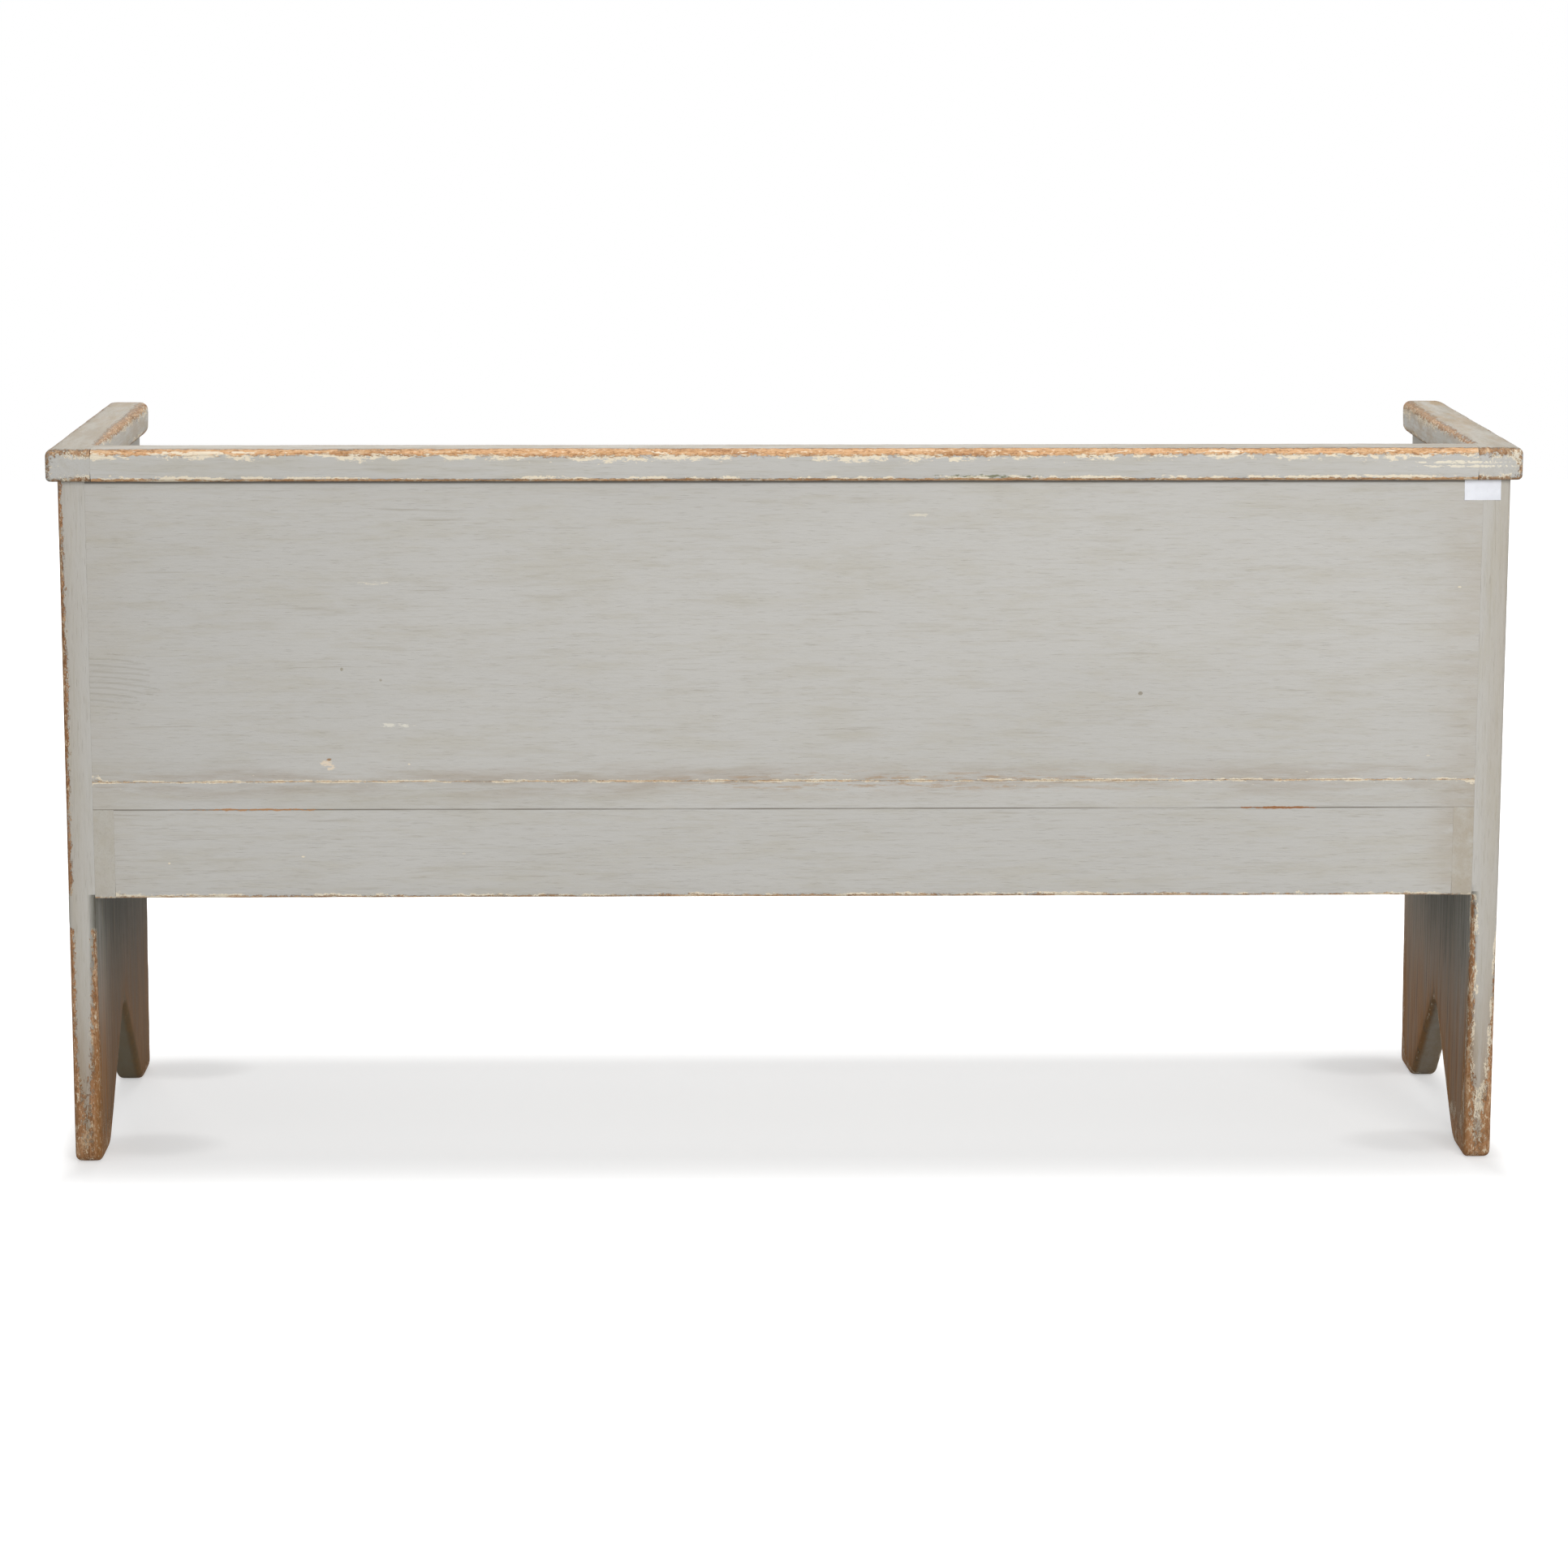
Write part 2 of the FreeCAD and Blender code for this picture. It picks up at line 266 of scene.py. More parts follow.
def let_wander(piece, blunt, depth, size=0.03, reach=0.012):
    """Let the rounded edges wander inwards by up to a depth, as hand work and years leave them."""
    group = piece.vertex_groups.new(name="edges")
    for i, away in enumerate(blunt):
        if away < reach:
            group.add([i], 1 - float(away) / reach, "REPLACE")
    clouds = bpy.data.textures.new(piece.name + "_wander", "CLOUDS")
    clouds.noise_scale = size
    clouds.noise_depth = 2
    bpy.context.view_layer.objects.active = piece
    wander = piece.modifiers.new("wander", "DISPLACE")
    wander.texture = clouds
    wander.texture_coords = "LOCAL"
    wander.vertex_group = group.name
    wander.mid_level = 1.0
    wander.strength = depth
    bpy.ops.object.modifier_apply(modifier=wander.name)
    piece.vertex_groups.clear()


def smooth(piece, degrees=35):
    bpy.ops.object.select_all(action="DESELECT")
    piece.select_set(True)
    bpy.context.view_layer.objects.active = piece
    bpy.ops.object.shade_smooth_by_angle(angle=math.radians(degrees))


def weather(piece, corner_lines, depth):
    """Mark the wear, let the worn edges wander by up to a depth, and shade the piece smoothly."""
    let_wander(piece, mark_wear(piece, corner_lines), depth)
    smooth(piece)


class Finish:
    """Builds the look of a piece of wood from nodes. The grain runs along one axis of the piece.

    Places and heights are in metres, and the values that mark_wear gives are in millimetres.
    """

    def __init__(self, name, grain):
        self.material = bpy.data.materials.new(name)
        self.material.use_nodes = True
        self.tree = self.material.node_tree
        self.tree.nodes.clear()
        self.grain = grain
        self.place = self.node("ShaderNodeTexCoord").outputs["Object"]

    def node(self, kind, **settings):
        node = self.tree.nodes.new(kind)
        for key, value in settings.items():
            setattr(node, key, value)
        return node

    def plug(self, value, socket):
        if isinstance(value, bpy.types.NodeSocket):
            self.tree.links.new(value, socket)
        else:
            socket.default_value = value

    def math(self, operation, a, b=0.0, c=0.0):
        node = self.node("ShaderNodeMath", operation=operation)
        for value, socket in zip((a, b, c), node.inputs):
            self.plug(value, socket)
        return node.outputs[0]

    def times(self, product, *factors):
        for factor in factors:
            product = self.math("MULTIPLY", product, factor)
        return product

    def scale(self, value, by, plus):
        return self.math("MULTIPLY_ADD", value, by, plus)

    def rest(self, share):
        """What a share leaves of the whole."""
        return self.math("SUBTRACT", 1.0, share)

    def ramp(self, value, low, high):
        """0 below low, 1 above high, and smooth between."""
        node = self.node("ShaderNodeMapRange", interpolation_type="SMOOTHSTEP")
        self.plug(value, node.inputs["Value"])
        node.inputs["From Min"].default_value = low
        node.inputs["From Max"].default_value = high
        return node.outputs["Result"]

    def mix(self, share, a, b):
        node = self.node("ShaderNodeMix", data_type="RGBA", clamp_factor=True)
        self.plug(share, node.inputs[0])
        self.plug(a, node.inputs[6])
        self.plug(b, node.inputs[7])
        return node.outputs[2]

    def stain(self, color, share, strength, card):
        """Lay a thin coat over a colour, at most as strong as it says."""
        return self.mix(self.times(share, strength), color, tint(card))

    def stretched(self, along, across, seed=0.0):
        """The place, in so many waves to the metre along the grain, and across it."""
        scale = [across] * 3
        scale[self.grain] = along
        mapping = self.node("ShaderNodeMapping")
        self.plug(self.place, mapping.inputs["Vector"])
        mapping.inputs["Scale"].default_value = scale
        mapping.inputs["Location"].default_value = (seed, seed * 1.7, seed * 2.3)
        return mapping.outputs["Vector"]

    def noise(self, along, across, detail, rough, seed):
        """Noise from 0 to 1, in so many waves to the metre along the grain, and across it."""
        noise = self.node("ShaderNodeTexNoise")
        self.plug(self.stretched(along, across, seed), noise.inputs["Vector"])
        noise.inputs["Scale"].default_value = 1.0
        noise.inputs["Detail"].default_value = detail
        noise.inputs["Roughness"].default_value = rough
        return noise.outputs["Fac"]

    def value(self, name):
        return self.node("ShaderNodeAttribute", attribute_name=name).outputs["Fac"]

    def along(self, axis):
        node = self.node("ShaderNodeSeparateXYZ")
        self.plug(self.place, node.inputs[0])
        return node.outputs[axis]

    def finish(self, color, roughness, height, bump_depth, **settings):
        shader = self.node("ShaderNodeBsdfPrincipled")
        output = self.node("ShaderNodeOutputMaterial")
        bump = self.node("ShaderNodeBump")
        bump.inputs["Distance"].default_value = bump_depth
        self.plug(height, bump.inputs["Height"])
        self.plug(color, shader.inputs["Base Color"])
        self.plug(roughness, shader.inputs["Roughness"])
        self.plug(bump.outputs["Normal"], shader.inputs["Normal"])
        for key, value in settings.items():
            shader.inputs[key.replace("_", " ")].default_value = value
        self.plug(shader.outputs["BSDF"], output.inputs["Surface"])
        return self.material


def tint(card):
    """A colour written as on a paint card, in six hexadecimal digits."""
    channels = [int(card[i : i + 2], 16) / 255 for i in (0, 2, 4)]
    return [c / 12.92 if c <= 0.04045 else ((c + 0.055) / 1.055) ** 2.4 for c in channels] + [1.0]


def old_paint(
    name, grain, seed, washes=None, tones=("BEBCB7", "C4C2BD"),
    wood=("D9AC82", "C69A6E", "A1744D"), cream_below=None, cream_amount=1.0, raggedness=1.0,
    flakes=0.66, creamier=None, speckle=0.6,
):
    """Grey milk paint brushed over a cream undercoat on pine, and rubbed off at the corners.

    washes is a function that takes the finish and gives the stains and painted shade over the paint,
    each of them (share, colour). Above cream_below the undercoat has gone too, down to a brown line.
    The lower flakes is, the more of the undercoat clings to the bare wood, and most where creamier
    is 1.
    """
    f = Finish(name, grain)
    broad = f.noise(1.2, 3.5, 2.0, 0.5, seed)
    streaks = f.noise(9.0, 75.0, 5.0, 0.7, seed + 11)
    fine = f.noise(16.0, 420.0, 4.0, 0.6, seed + 23)
    wash = f.noise(6.0, 30.0, 6.0, 0.72, seed + 37)
    pores = f.noise(55.0, 900.0, 2.0, 0.5, seed + 5)
    hairs = f.noise(6.0, 260.0, 4.0, 0.7, seed + 83)

    grey = f.mix(f.ramp(broad, 0.3, 0.7), tint(tones[0]), tint(tones[1]))
    for pattern, low, high, strength, card in (
        (wash, 0.45, 0.7, 0.34, "B6B09F"),
        (streaks, 0.5, 0.7, 0.3, "B1AB9C"),
        (fine, 0.5, 0.72, 0.3, "ABA698"),
        (pores, 0.6, 0.78, 0.35, "999284"),
        (hairs, 0.62, 0.72, 0.4, "978F80"),
    ):
        grey = f.stain(grey, f.ramp(pattern, low, high), strength, card)
    stains = washes(f) if washes else []
    for share, stain in stains:
        grey = f.mix(share, grey, tint(stain))

    # The rub: how far past the edge of the paint a point is, in millimetres, made ragged.
    patch_depth = 3.0 * raggedness
    flake_depth = 10.0 * raggedness
    patchy = f.noise(5.0, 16.0, 2.0, 0.5, seed + 41)
    patchy = f.scale(patchy, patch_depth, -patch_depth / 2)
    flaky = f.noise(110.0, 260.0, 5.0, 0.9, seed + 53)
    flaky = f.scale(flaky, flake_depth, -flake_depth / 2)
    uneven = f.times(f.value("ragged"), f.math("ADD", patchy, flaky))
    rub_depth = f.math("ADD", f.value("worn"), uneven)
    bare = f.ramp(rub_depth, 0.0, 0.35)
    cream_share = f.ramp(f.noise(22.0, 60.0, 5.0, 0.75, seed + 61), 0.44, 0.56)
    cream_width = f.scale(f.value("ragged"), 0.7 * cream_amount, 0.8 * cream_amount)
    cream_width = f.times(cream_share, cream_width)
    cream = f.ramp(f.math("ADD", rub_depth, cream_width), 0.3, 0.7)

    under = f.mix(f.ramp(fine, 0.35, 0.65), tint(wood[0]), tint(wood[1]))
    pale = f.noise(24.0, 90.0, 4.0, 0.7, seed + 67)
    flecks = f.noise(150.0, 320.0, 3.0, 0.8, seed + 71)
    for pattern, low, high, strength, card in (
        (streaks, 0.48, 0.62, 0.7, wood[2]),
        (pale, 0.54, 0.64, 0.5, "E4C7A4"),
        (flecks, 0.56, 0.61, speckle, "7A5334"),
        (flecks, 0.43, 0.38, speckle, "E6D5B8"),
    ):
        under = f.stain(under, f.ramp(pattern, low, high), strength, card)
    fringe = f.rest(f.ramp(rub_depth, 0.25, 0.9))
    fringe = f.times(fringe, f.ramp(f.value("ragged"), 0.7, 1.4))
    under = f.stain(under, fringe, 0.6, "7C5435")
    clinging = f.noise(26.0, 110.0, 4.0, 0.75, seed + 91)
    if creamier:
        clinging = f.scale(creamier(f), 0.1, clinging)
    clinging = f.ramp(clinging, flakes, flakes + 0.03)
    if cream_below:
        lower = f.ramp(f.along(Z), cream_below + 0.0012, cream_below)
        cream = f.times(cream, lower)
        clinging = f.times(clinging, lower)
        rim = f.rest(f.ramp(rub_depth, 0.5, 1.6))
        rim = f.times(rim, f.rest(lower))
        under = f.stain(under, rim, 0.9, "5E3F28")

    # Small chips down to the undercoat, thinly strewn over the face of the boards.
    cells = f.node("ShaderNodeTexVoronoi")
    f.plug(f.stretched(32.0, 60.0), cells.inputs["Vector"])
    cells.inputs["Scale"].default_value = 1.0
    pick = f.node("ShaderNodeSeparateColor")
    f.plug(cells.outputs["Color"], pick.inputs[0])
    rare = f.ramp(pick.outputs[0], 0.985, 0.99)
    spot_edge = f.scale(fine, 0.12, 0.01)
    spot = f.times(rare, f.math("LESS_THAN", cells.outputs["Distance"], spot_edge))

    color = f.mix(f.math("MAXIMUM", cream, spot), grey, tint("E9DDC6"))
    wooden = f.times(bare, f.scale(clinging, -0.9, 1.0))
    color = f.mix(wooden, color, under)
    for share, stain in stains:
        color = f.stain(color, share, 0.35, stain)
    roughness = f.scale(streaks, 0.16, 0.68)
    height = f.scale(fine, 0.55, f.times(streaks, 0.4))
    height = f.math("SUBTRACT", height, f.times(f.ramp(pores, 0.55, 0.75), 0.3))
    height = f.math("SUBTRACT", height, f.times(f.math("MAXIMUM", bare, spot), 0.5))
    paint_relief = 0.0005
    return f.finish(color, roughness, height, paint_relief, Specular_IOR_Level=0.15)


def finish_piece(piece, finish, slot, *nodes):
    """Give a finished piece its material, and let it stand for its nodes on the bench."""
    piece.data.materials.clear()
    piece.data.materials.append(finish)
    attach(piece, "root")
    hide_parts(*nodes)


foot_depth = 0.423
foot_length = 0.074
notch_side_angle = math.radians(47.0)
notch_crown_radius = 0.022
foot_corner_radius = 0.012
heel_rounding = 0.016
end_edge_radius = 0.006
rear_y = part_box("end_panel_left")[1].y
front_y = rear_y - foot_depth
crown_y = (front_y + rear_y) / 2
notch_half = foot_depth / 2 - foot_length
crown_z = notch_half * math.tan(notch_side_angle)
tongue_length = 0.010
frame_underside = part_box("back_apron")[0].z
end_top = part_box("arm_left")[0].z
end_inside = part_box("back_panel")[1].x - tongue_length

# The wear: how far the edges wander, the heights at which it changes, and an edge that has none.
end_wander = 0.0010
scuff_top = 0.12
toe_wear_top = 0.1
lower_joint_z = 0.33
no_rub = -0.003
slice_height, slice_depth = 0.014, 0.024
saw_margin = 0.05


def soiled_and_shaded_end(f):
    """Brown dirt near the floor, and dark dirt with painted shade on the inner face below the seat
    and in the V.
    """
    streaky = f.ramp(f.noise(2.5, 45.0, 6.0, 0.72, 71.0), 0.34, 0.64)
    uneven = f.scale(streaky, 0.45, 0.55)
    low_down = f.rest(f.ramp(f.along(Z), 0.0, 0.28))
    close = f.rest(f.ramp(f.value("corner"), 3.0, 34.0))
    outer = f.times(low_down, f.scale(close, 0.6, 0.12))
    inner = f.ramp(f.math("ABSOLUTE", f.along(X)), end_inside + 0.010, end_inside + 0.002)
    inner = f.times(inner, f.math("LESS_THAN", f.along(Z), frame_underside + 0.005))
    forward = f.rest(f.ramp(f.along(Y), rear_y - 0.14, rear_y - 0.02))
    olive = f.ramp(f.math("ABSOLUTE", f.along(X)), end_inside - 0.004, end_inside + 0.030)
    olive = f.scale(f.times(olive, uneven), 0.19, 0.05)
    # shaded marks the +X end, whose inner face gets more of the painted shade and of the brown.
    shaded = f.math("GREATER_THAN", f.along(X), 0.0)
    # Dark grey on the inner face, deepening towards the seat and towards the front: painted shade,
    # streaked like dirt.
    dark = f.times(
        f.scale(f.ramp(f.along(Z), 0.17, 0.31), 0.38, 0.48),
        f.scale(forward, 0.35, 0.75),
        f.scale(streaky, -0.25, 1.1),
        f.scale(shaded, 0.14, 0.86),
    )
    brown = f.times(
        f.rest(f.ramp(f.along(Z), 0.06, 0.29)),
        f.scale(close, 0.3, 1.15),
        f.scale(forward, 0.1, 0.9),
        f.scale(shaded, 0.18, 0.82),
    )
    # Painted shade, darkest towards the front of the +X end's inner face.
    painted_deep_shade = f.times(inner, forward, f.times(shaded, 0.55))
    # Darker along the V and on its sawn faces, more on the +X end: dirt and painted shade.
    rise = f.times(f.math("SUBTRACT", crown_z, f.along(Z)), notch_half / crown_z)
    beside = f.math("ABSOLUTE", f.math("SUBTRACT", f.along(Y), crown_y))
    v_dirt_and_shade = f.ramp(f.math("SUBTRACT", beside, rise), 0.012, 0.002)
    scratches = f.noise(5.0, 170.0, 5.0, 0.75, 77.0)
    scratched = f.times(inner, f.ramp(scratches, 0.52, 0.62), 0.5)
    scraped = f.times(inner, f.ramp(scratches, 0.44, 0.34), 0.3)
    v_dirt_and_shade = f.times(v_dirt_and_shade, f.scale(shaded, 0.35, 0.45))
    return [
        (olive, "9C8A6A"),
        (f.times(outer, uneven), "86663F"),
        (f.times(inner, dark), "48483C"),
        (f.times(inner, brown, uneven), "8E5E27"),
        (painted_deep_shade, "30291A"),
        (scratched, "3B3225"),
        (scraped, "A98E6A"),
        (v_dirt_and_shade, "55503F"),
    ]


for side_name, side in SIDES.items():
    node = "end_panel_" + side_name
    low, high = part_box(node)
    outside = max(abs(low.x), abs(high.x)) * side
    inside = end_inside * side
    panel_low = Vector((min(inside, outside), low.y, 0))
    panel_high = Vector((max(inside, outside), rear_y, end_top))
    panel = block(node + "_board", panel_low, panel_high)

    # The front edge leans forward from the foot to the arm.
    start_edit(panel)
    saw_along((0, front_y, 0), (0, -end_top, low.y - front_y))
    end_edit()

    # The saw takes out the inverted V, with its top rounded.
    saw = block(
        "saw",
        (panel_low.x - saw_margin, front_y, -saw_margin),
        (panel_high.x + saw_margin, rear_y, crown_z + saw_margin),
    )
    start_edit(saw)
    for way in (-1, 1):
        lean = (0, way * math.sin(notch_side_angle), math.cos(notch_side_angle))
        saw_along((0, crown_y, crown_z), lean)
    round_over(on({Z: crown_z}), notch_crown_radius * math.tan(notch_side_angle), 10)
    end_edit()
    cut_out(panel, saw)

    # Feet rounded at their corners, then all round but where the panel meets the back and the arm.
    start_edit(panel)
    heel_y, toe_y = crown_y + notch_half, crown_y - notch_half
    for foot_y, radius in (
        (rear_y, foot_corner_radius),
        (heel_y, heel_rounding),
        (toe_y, heel_rounding),
        (front_y, foot_corner_radius),
    ):
        round_over(
            lambda a, b: all(near(p.y, foot_y, 1e-4) and near(p.z, 0, 1e-4) for p in (a, b)),
            radius,
            6,
        )
    cut_through(Z, frame_underside)

    def is_rim(a, b):
        on_face = near(a.x, b.x) and (near(a.x, inside) or near(a.x, outside))
        flush = near(a.x, inside) and all(
            near(p.y, rear_y) and p.z > frame_underside - 1e-4 for p in (a, b)
        )
        level = near(a.z, b.z) and (near(a.z, end_top) or near(a.z, frame_underside))
        return on_face and not flush and not level

    round_over(is_rim, end_edge_radius, 4)
    slice_up(Z, 0, end_top, slice_height)
    slice_up(Y, low.y, rear_y, slice_depth)
    select_edges(
        lambda a, b: 2 * end_edge_radius < abs(a.x - b.x) and near(a.z, b.z) and near(a.y, b.y)
    )
    bpy.ops.mesh.subdivide(number_cuts=3)
    end_edit()

    # Each line of wear has its two ends, and how far the paint has gone at each of them.
    lines = []
    for face_x in (inside, outside):
        joined = near(face_x, inside)
        upper = no_rub if joined else 0.0008 if side < 0 else 0.0056
        worn_from = 0.316 if side < 0 else 0.278
        start_rub, lower = upper, 0.0052
        if joined:
            start_rub, lower = (0.0044, 0.0066) if side < 0 else (0.0060, 0.0080)
        for (ay, az), (by, bz), rub_a, rub_b in (
            ((rear_y, end_top), (rear_y, lower_joint_z), upper, upper),
            ((rear_y, worn_from), (rear_y, scuff_top), start_rub, lower),
            ((rear_y, scuff_top), (rear_y, 0), lower, 0.020),
            ((rear_y, 0), (heel_y, 0), 0.036, 0.030),
            ((heel_y, 0), (crown_y, crown_z), 0.010, 0.003),
            ((crown_y, crown_z), (toe_y, 0), 0.0012, 0.0014),
            ((toe_y, 0), (front_y, 0), 0.008, 0.014),
            ((front_y, 0), (front_y, toe_wear_top), 0.014, 0.006),
            ((front_y, toe_wear_top), (low.y, end_top), 0.006, 0.005),
        ):
            lines.append((Vector((face_x, ay, az)), Vector((face_x, by, bz)), rub_a, rub_b))
    weather(panel, lines, end_wander)
    paint = old_paint(
        node + "_paint",
        Z,
        3.0 if side < 0 else 8.0,
        soiled_and_shaded_end,
        tones=("BDBBB6", "C3C1BC"),
        wood=("B58560", "9C704C", "7A5436"),
        cream_amount=0.45 if side > 0 else 1.5,
        flakes=0.62,
        speckle=0.9,
    )
    finish_piece(panel, paint, "painted_pine", node)


# Seat bearers. A batten is screwed to the inner face of each end panel, and carries the end of the
# seat. Its rear end is level with the back of the bench, so its end grain shows beside the apron.
def plank(name, low, high, edges, spacing):
    """A squared board with some of its edges eased, cut up finely enough to wear.

    Each of the edges is (radius, steps, rub, places), with each place as {axis: value}.
    """
    piece = block(name, low, high)
    lines = []
    start_edit(piece)
    for radius, steps, rubbed, places in edges:
        round_over(on(*places), radius, steps)
        for place in places:
            ends = Vector(low), Vector(high)
            for axis, value in place.items():
                ends[0][axis] = ends[1][axis] = value
            lines.append((*ends, rubbed, rubbed))
    for axis, gap in zip((X, Y, Z), spacing):
        slice_up(axis, low[axis], high[axis], gap)
    end_edit()
    return piece, lines


def between(low, high, share):
    return low + (high - low) * share


def countersink(piece, screws):
    """Sink a hole for each screw, given as (entry, direction)."""
    for entry, direction in screws:
        bpy.ops.mesh.primitive_cone_add(
            vertices=24,
            radius1=hole_mouth_radius,
            radius2=hole_neck_radius,
            depth=hole_depth,
            location=entry + direction * hole_middle,
            rotation=direction.to_track_quat("Z", "Y").to_euler(),
        )
        cut_out(piece, bpy.context.object)


def smear_at_ends(f, amount=1.0):
    """The brown that wiping has left on the rear of the bench by its ends, most at one of them."""
    outward = f.math("ABSOLUTE", f.along(X))
    broad = f.ramp(outward, end_inside - 0.11, end_inside + 0.01)
    close = f.ramp(outward, bearer_inside - 0.045, end_inside)
    blotchy = f.ramp(f.noise(14.0, 40.0, 5.0, 0.7, 63.0), 0.30, 0.62)
    most = f.scale(f.math("GREATER_THAN", 0.0, f.along(X)), 0.24, 0.08)
    smear = f.times(close, blotchy, most)
    return [
        (f.times(broad, 0.05), "9C8A6A"),
        (f.times(smear, amount), "9A8566"),
    ]


bearer_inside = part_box("back_apron")[1].x
apron_edge_radius = 0.004
batten_wander = 0.0008
screw_head_radius = 0.0037
screw_sink = 0.0004
hole_mouth_radius = screw_head_radius + 0.0003
hole_neck_radius = 0.0021
hole_depth = 0.0034
hole_middle = 0.0012
bearer_screws = []
arris = 0.0012
hairline = 0.0002

for side_name, side in SIDES.items():
    node = "seat_bearer_" + side_name
    low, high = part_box(node)
    bearer, lines = plank(
        node + "_batten",
        low,
        high,
        [
            (apron_edge_radius, 3, 0.002, [{Y: low.y, Z: low.z}, {Y: high.y, Z: low.z}]),
            (arris, 2, 0.0004, [{X: bearer_inside * side, Z: low.z}]),
            (hairline, 1, no_rub, [{X: x * side, Y: high.y} for x in (bearer_inside, end_inside)]),
        ],
        spacing=(0.012, 0.02, 0.02),
    )

    # Three screws, high and low in turn, each given as shares of the batten's length and height.
    holes = []
    for along, up in ((0.25, 0.3), (0.5, 0.7), (0.75, 0.3)):
        entry = (side * bearer_inside, between(low.y, high.y, along), between(low.z, high.z, up))
        holes.append((Vector(entry), Vector((side, 0, 0))))
    countersink(bearer, holes)
    bearer_screws += holes
    weather(bearer, lines, batten_wander)
    paint = old_paint(node + "_paint", Y, 14.0 + side, smear_at_ends, tones=("BCB9B1", "C1BEB6"))
    finish_piece(bearer, paint, "painted_pine", node)


# Aprons. One board stands under each edge of the seat, between the bearers. The rear one is level
# with the back of the bench. Their lower edges are rubbed down to the undercoat and the wood.
def blotch(f, x, z, half_width, half_height, broken):
    """A ragged spot on the rear of the bench, more or less broken up into specks."""
    across = f.math("DIVIDE", f.math("SUBTRACT", f.along(X), x), half_width)
    upward = f.math("DIVIDE", f.math("SUBTRACT", f.along(Z), z), half_height)
    away = f.math("ADD", f.times(across, across), f.times(upward, upward))
    rough = f.scale(f.noise(90.0, 330.0, 4.0, 0.75, x + z), 8.0 * broken, -4.0 * broken)
    spot = f.rest(f.ramp(f.math("ADD", away, rough), 0.6, 1.0))
    return f.times(spot, on_rear(f))


def on_rear(f):
    """1 on the rear face of the bench, and 0 elsewhere."""
    return f.math("GREATER_THAN", f.along(Y), rear_y - 0.001)


def marks_on_joint(f):
    """The dark line of the joint between the seat and the rear apron, with bare orange places."""
    off = f.math("ABSOLUTE", f.math("SUBTRACT", f.along(Z), frame_top))
    patchy = f.scale(f.ramp(f.noise(4.0, 4.0, 3.0, 0.6, 57.0), 0.4, 0.6), 0.4, 0.15)
    line = f.times(f.ramp(off, 0.0013, 0.0004), f.times(patchy, on_rear(f)))
    return smear_at_ends(f) + [
        (line, "5A4F3E"),
        (f.times(blotch(f, 0.615, frame_top, 0.075, 0.0013, 1.0), 0.8), "BC8C60"),
        (f.times(blotch(f, -0.577, frame_top, 0.045, 0.0016, 0.6), 0.85), "A06B40"),
    ]


board_wander = 0.0009
frame_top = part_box("seat_board")[0].z
for node, outer, seed in (("back_apron", 1, 19.0), ("front_apron", -1, 26.0)):
    low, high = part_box(node)
    outer_y = high.y if outer > 0 else low.y
    inner_y = low.y if outer > 0 else high.y
    low.x, high.x = -bearer_inside, bearer_inside
    apron, lines = plank(
        node + "_board",
        low,
        high,
        [
            (apron_edge_radius, 3, 0.0032, [{Y: outer_y, Z: low.z}]),
            (hairline, 1, no_rub, [{Y: outer_y, Z: high.z}]),
            (arris, 2, 0.0004, [{Y: inner_y, Z: low.z}]),
            (hairline, 1, no_rub, [{X: low.x, Y: outer_y}, {X: high.x, Y: outer_y}]),
        ],
        spacing=(0.012, 0.012, 0.02),
    )
    weather(apron, lines, board_wander)
    paint = old_paint(
        node + "_paint",
        X,
        seed,
        marks_on_joint,
        wood=("CDAE8C", "B8977A", "8E6E50"),
        cream_amount=1.3,
        flakes=0.56,
    )
    finish_piece(apron, paint, "painted_pine", node)


# Seat. One wide board between the ends, with a rounded nose in front. Its rear edge runs on under
# the back and shows behind as a strip, browner than the rest where dirt has gathered in the joint.
seat_nose_radius = 0.010
seat_nose_under_radius = 0.005
joint_arris = 0.0005
low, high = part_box("seat_board")
low.x, high.x = -end_inside, end_inside
seat_top = high.z


def soiled_joint(f):
    """A thin brown wash that gathers at the joints between the boards."""
    close = f.rest(f.ramp(f.value("corner"), 1.0, 30.0))
    blotchy = f.ramp(f.noise(7.0, 60.0, 6.0, 0.7, 83.0), 0.38, 0.68)
    joint = f.times(close, f.times(blotchy, 0.34))
    near_line = f.rest(f.ramp(f.value("corner"), 2.0, 16.0))
    middle = f.math("ABSOLUTE", f.math("ADD", f.along(X), 0.15))
    scuffed = f.times(near_line, f.rest(f.ramp(middle, 0.1, 0.4)))
    flecks = f.ramp(f.noise(24.0, 260.0, 5.0, 0.75, 29.0), 0.50, 0.60)
    specks = f.ramp(f.noise(60.0, 260.0, 3.0, 0.7, 33.0), 0.69, 0.72)
    return [
        (joint, "96826A"),
        (f.times(scuffed, flecks, 0.6), "AA8A66"),
        (f.times(near_line, specks, 0.8), "E6DECB"),
    ]


seat, lines = plank(
    "seat_plank",
    low,
    high,
    [
        (seat_nose_radius, 6, 0.009, [{Y: low.y, Z: high.z}]),
        (seat_nose_under_radius, 4, 0.004, [{Y: low.y, Z: low.z}]),
        (joint_arris, 1, 0.0006, [{Y: high.y, Z: high.z}]),
        (hairline, 1, no_rub, [{Y: high.y, Z: low.z}]),
        (hairline, 1, no_rub, [{X: low.x, Y: high.y}, {X: high.x, Y: high.y}]),
    ],
    spacing=(0.012, 0.024, 0.016),
)
weather(seat, lines, board_wander)
worn_joint = {"wood": ("DFC5A6", "D3B18B", "AE8B65"), "cream_amount": 1.3, "flakes": 0.54}
paint = old_paint(
    "seat_paint", X, 31.0, lambda f: soiled_joint(f) + marks_on_joint(f), **worn_joint
)
finish_piece(seat, paint, "painted_pine", "seat_board")


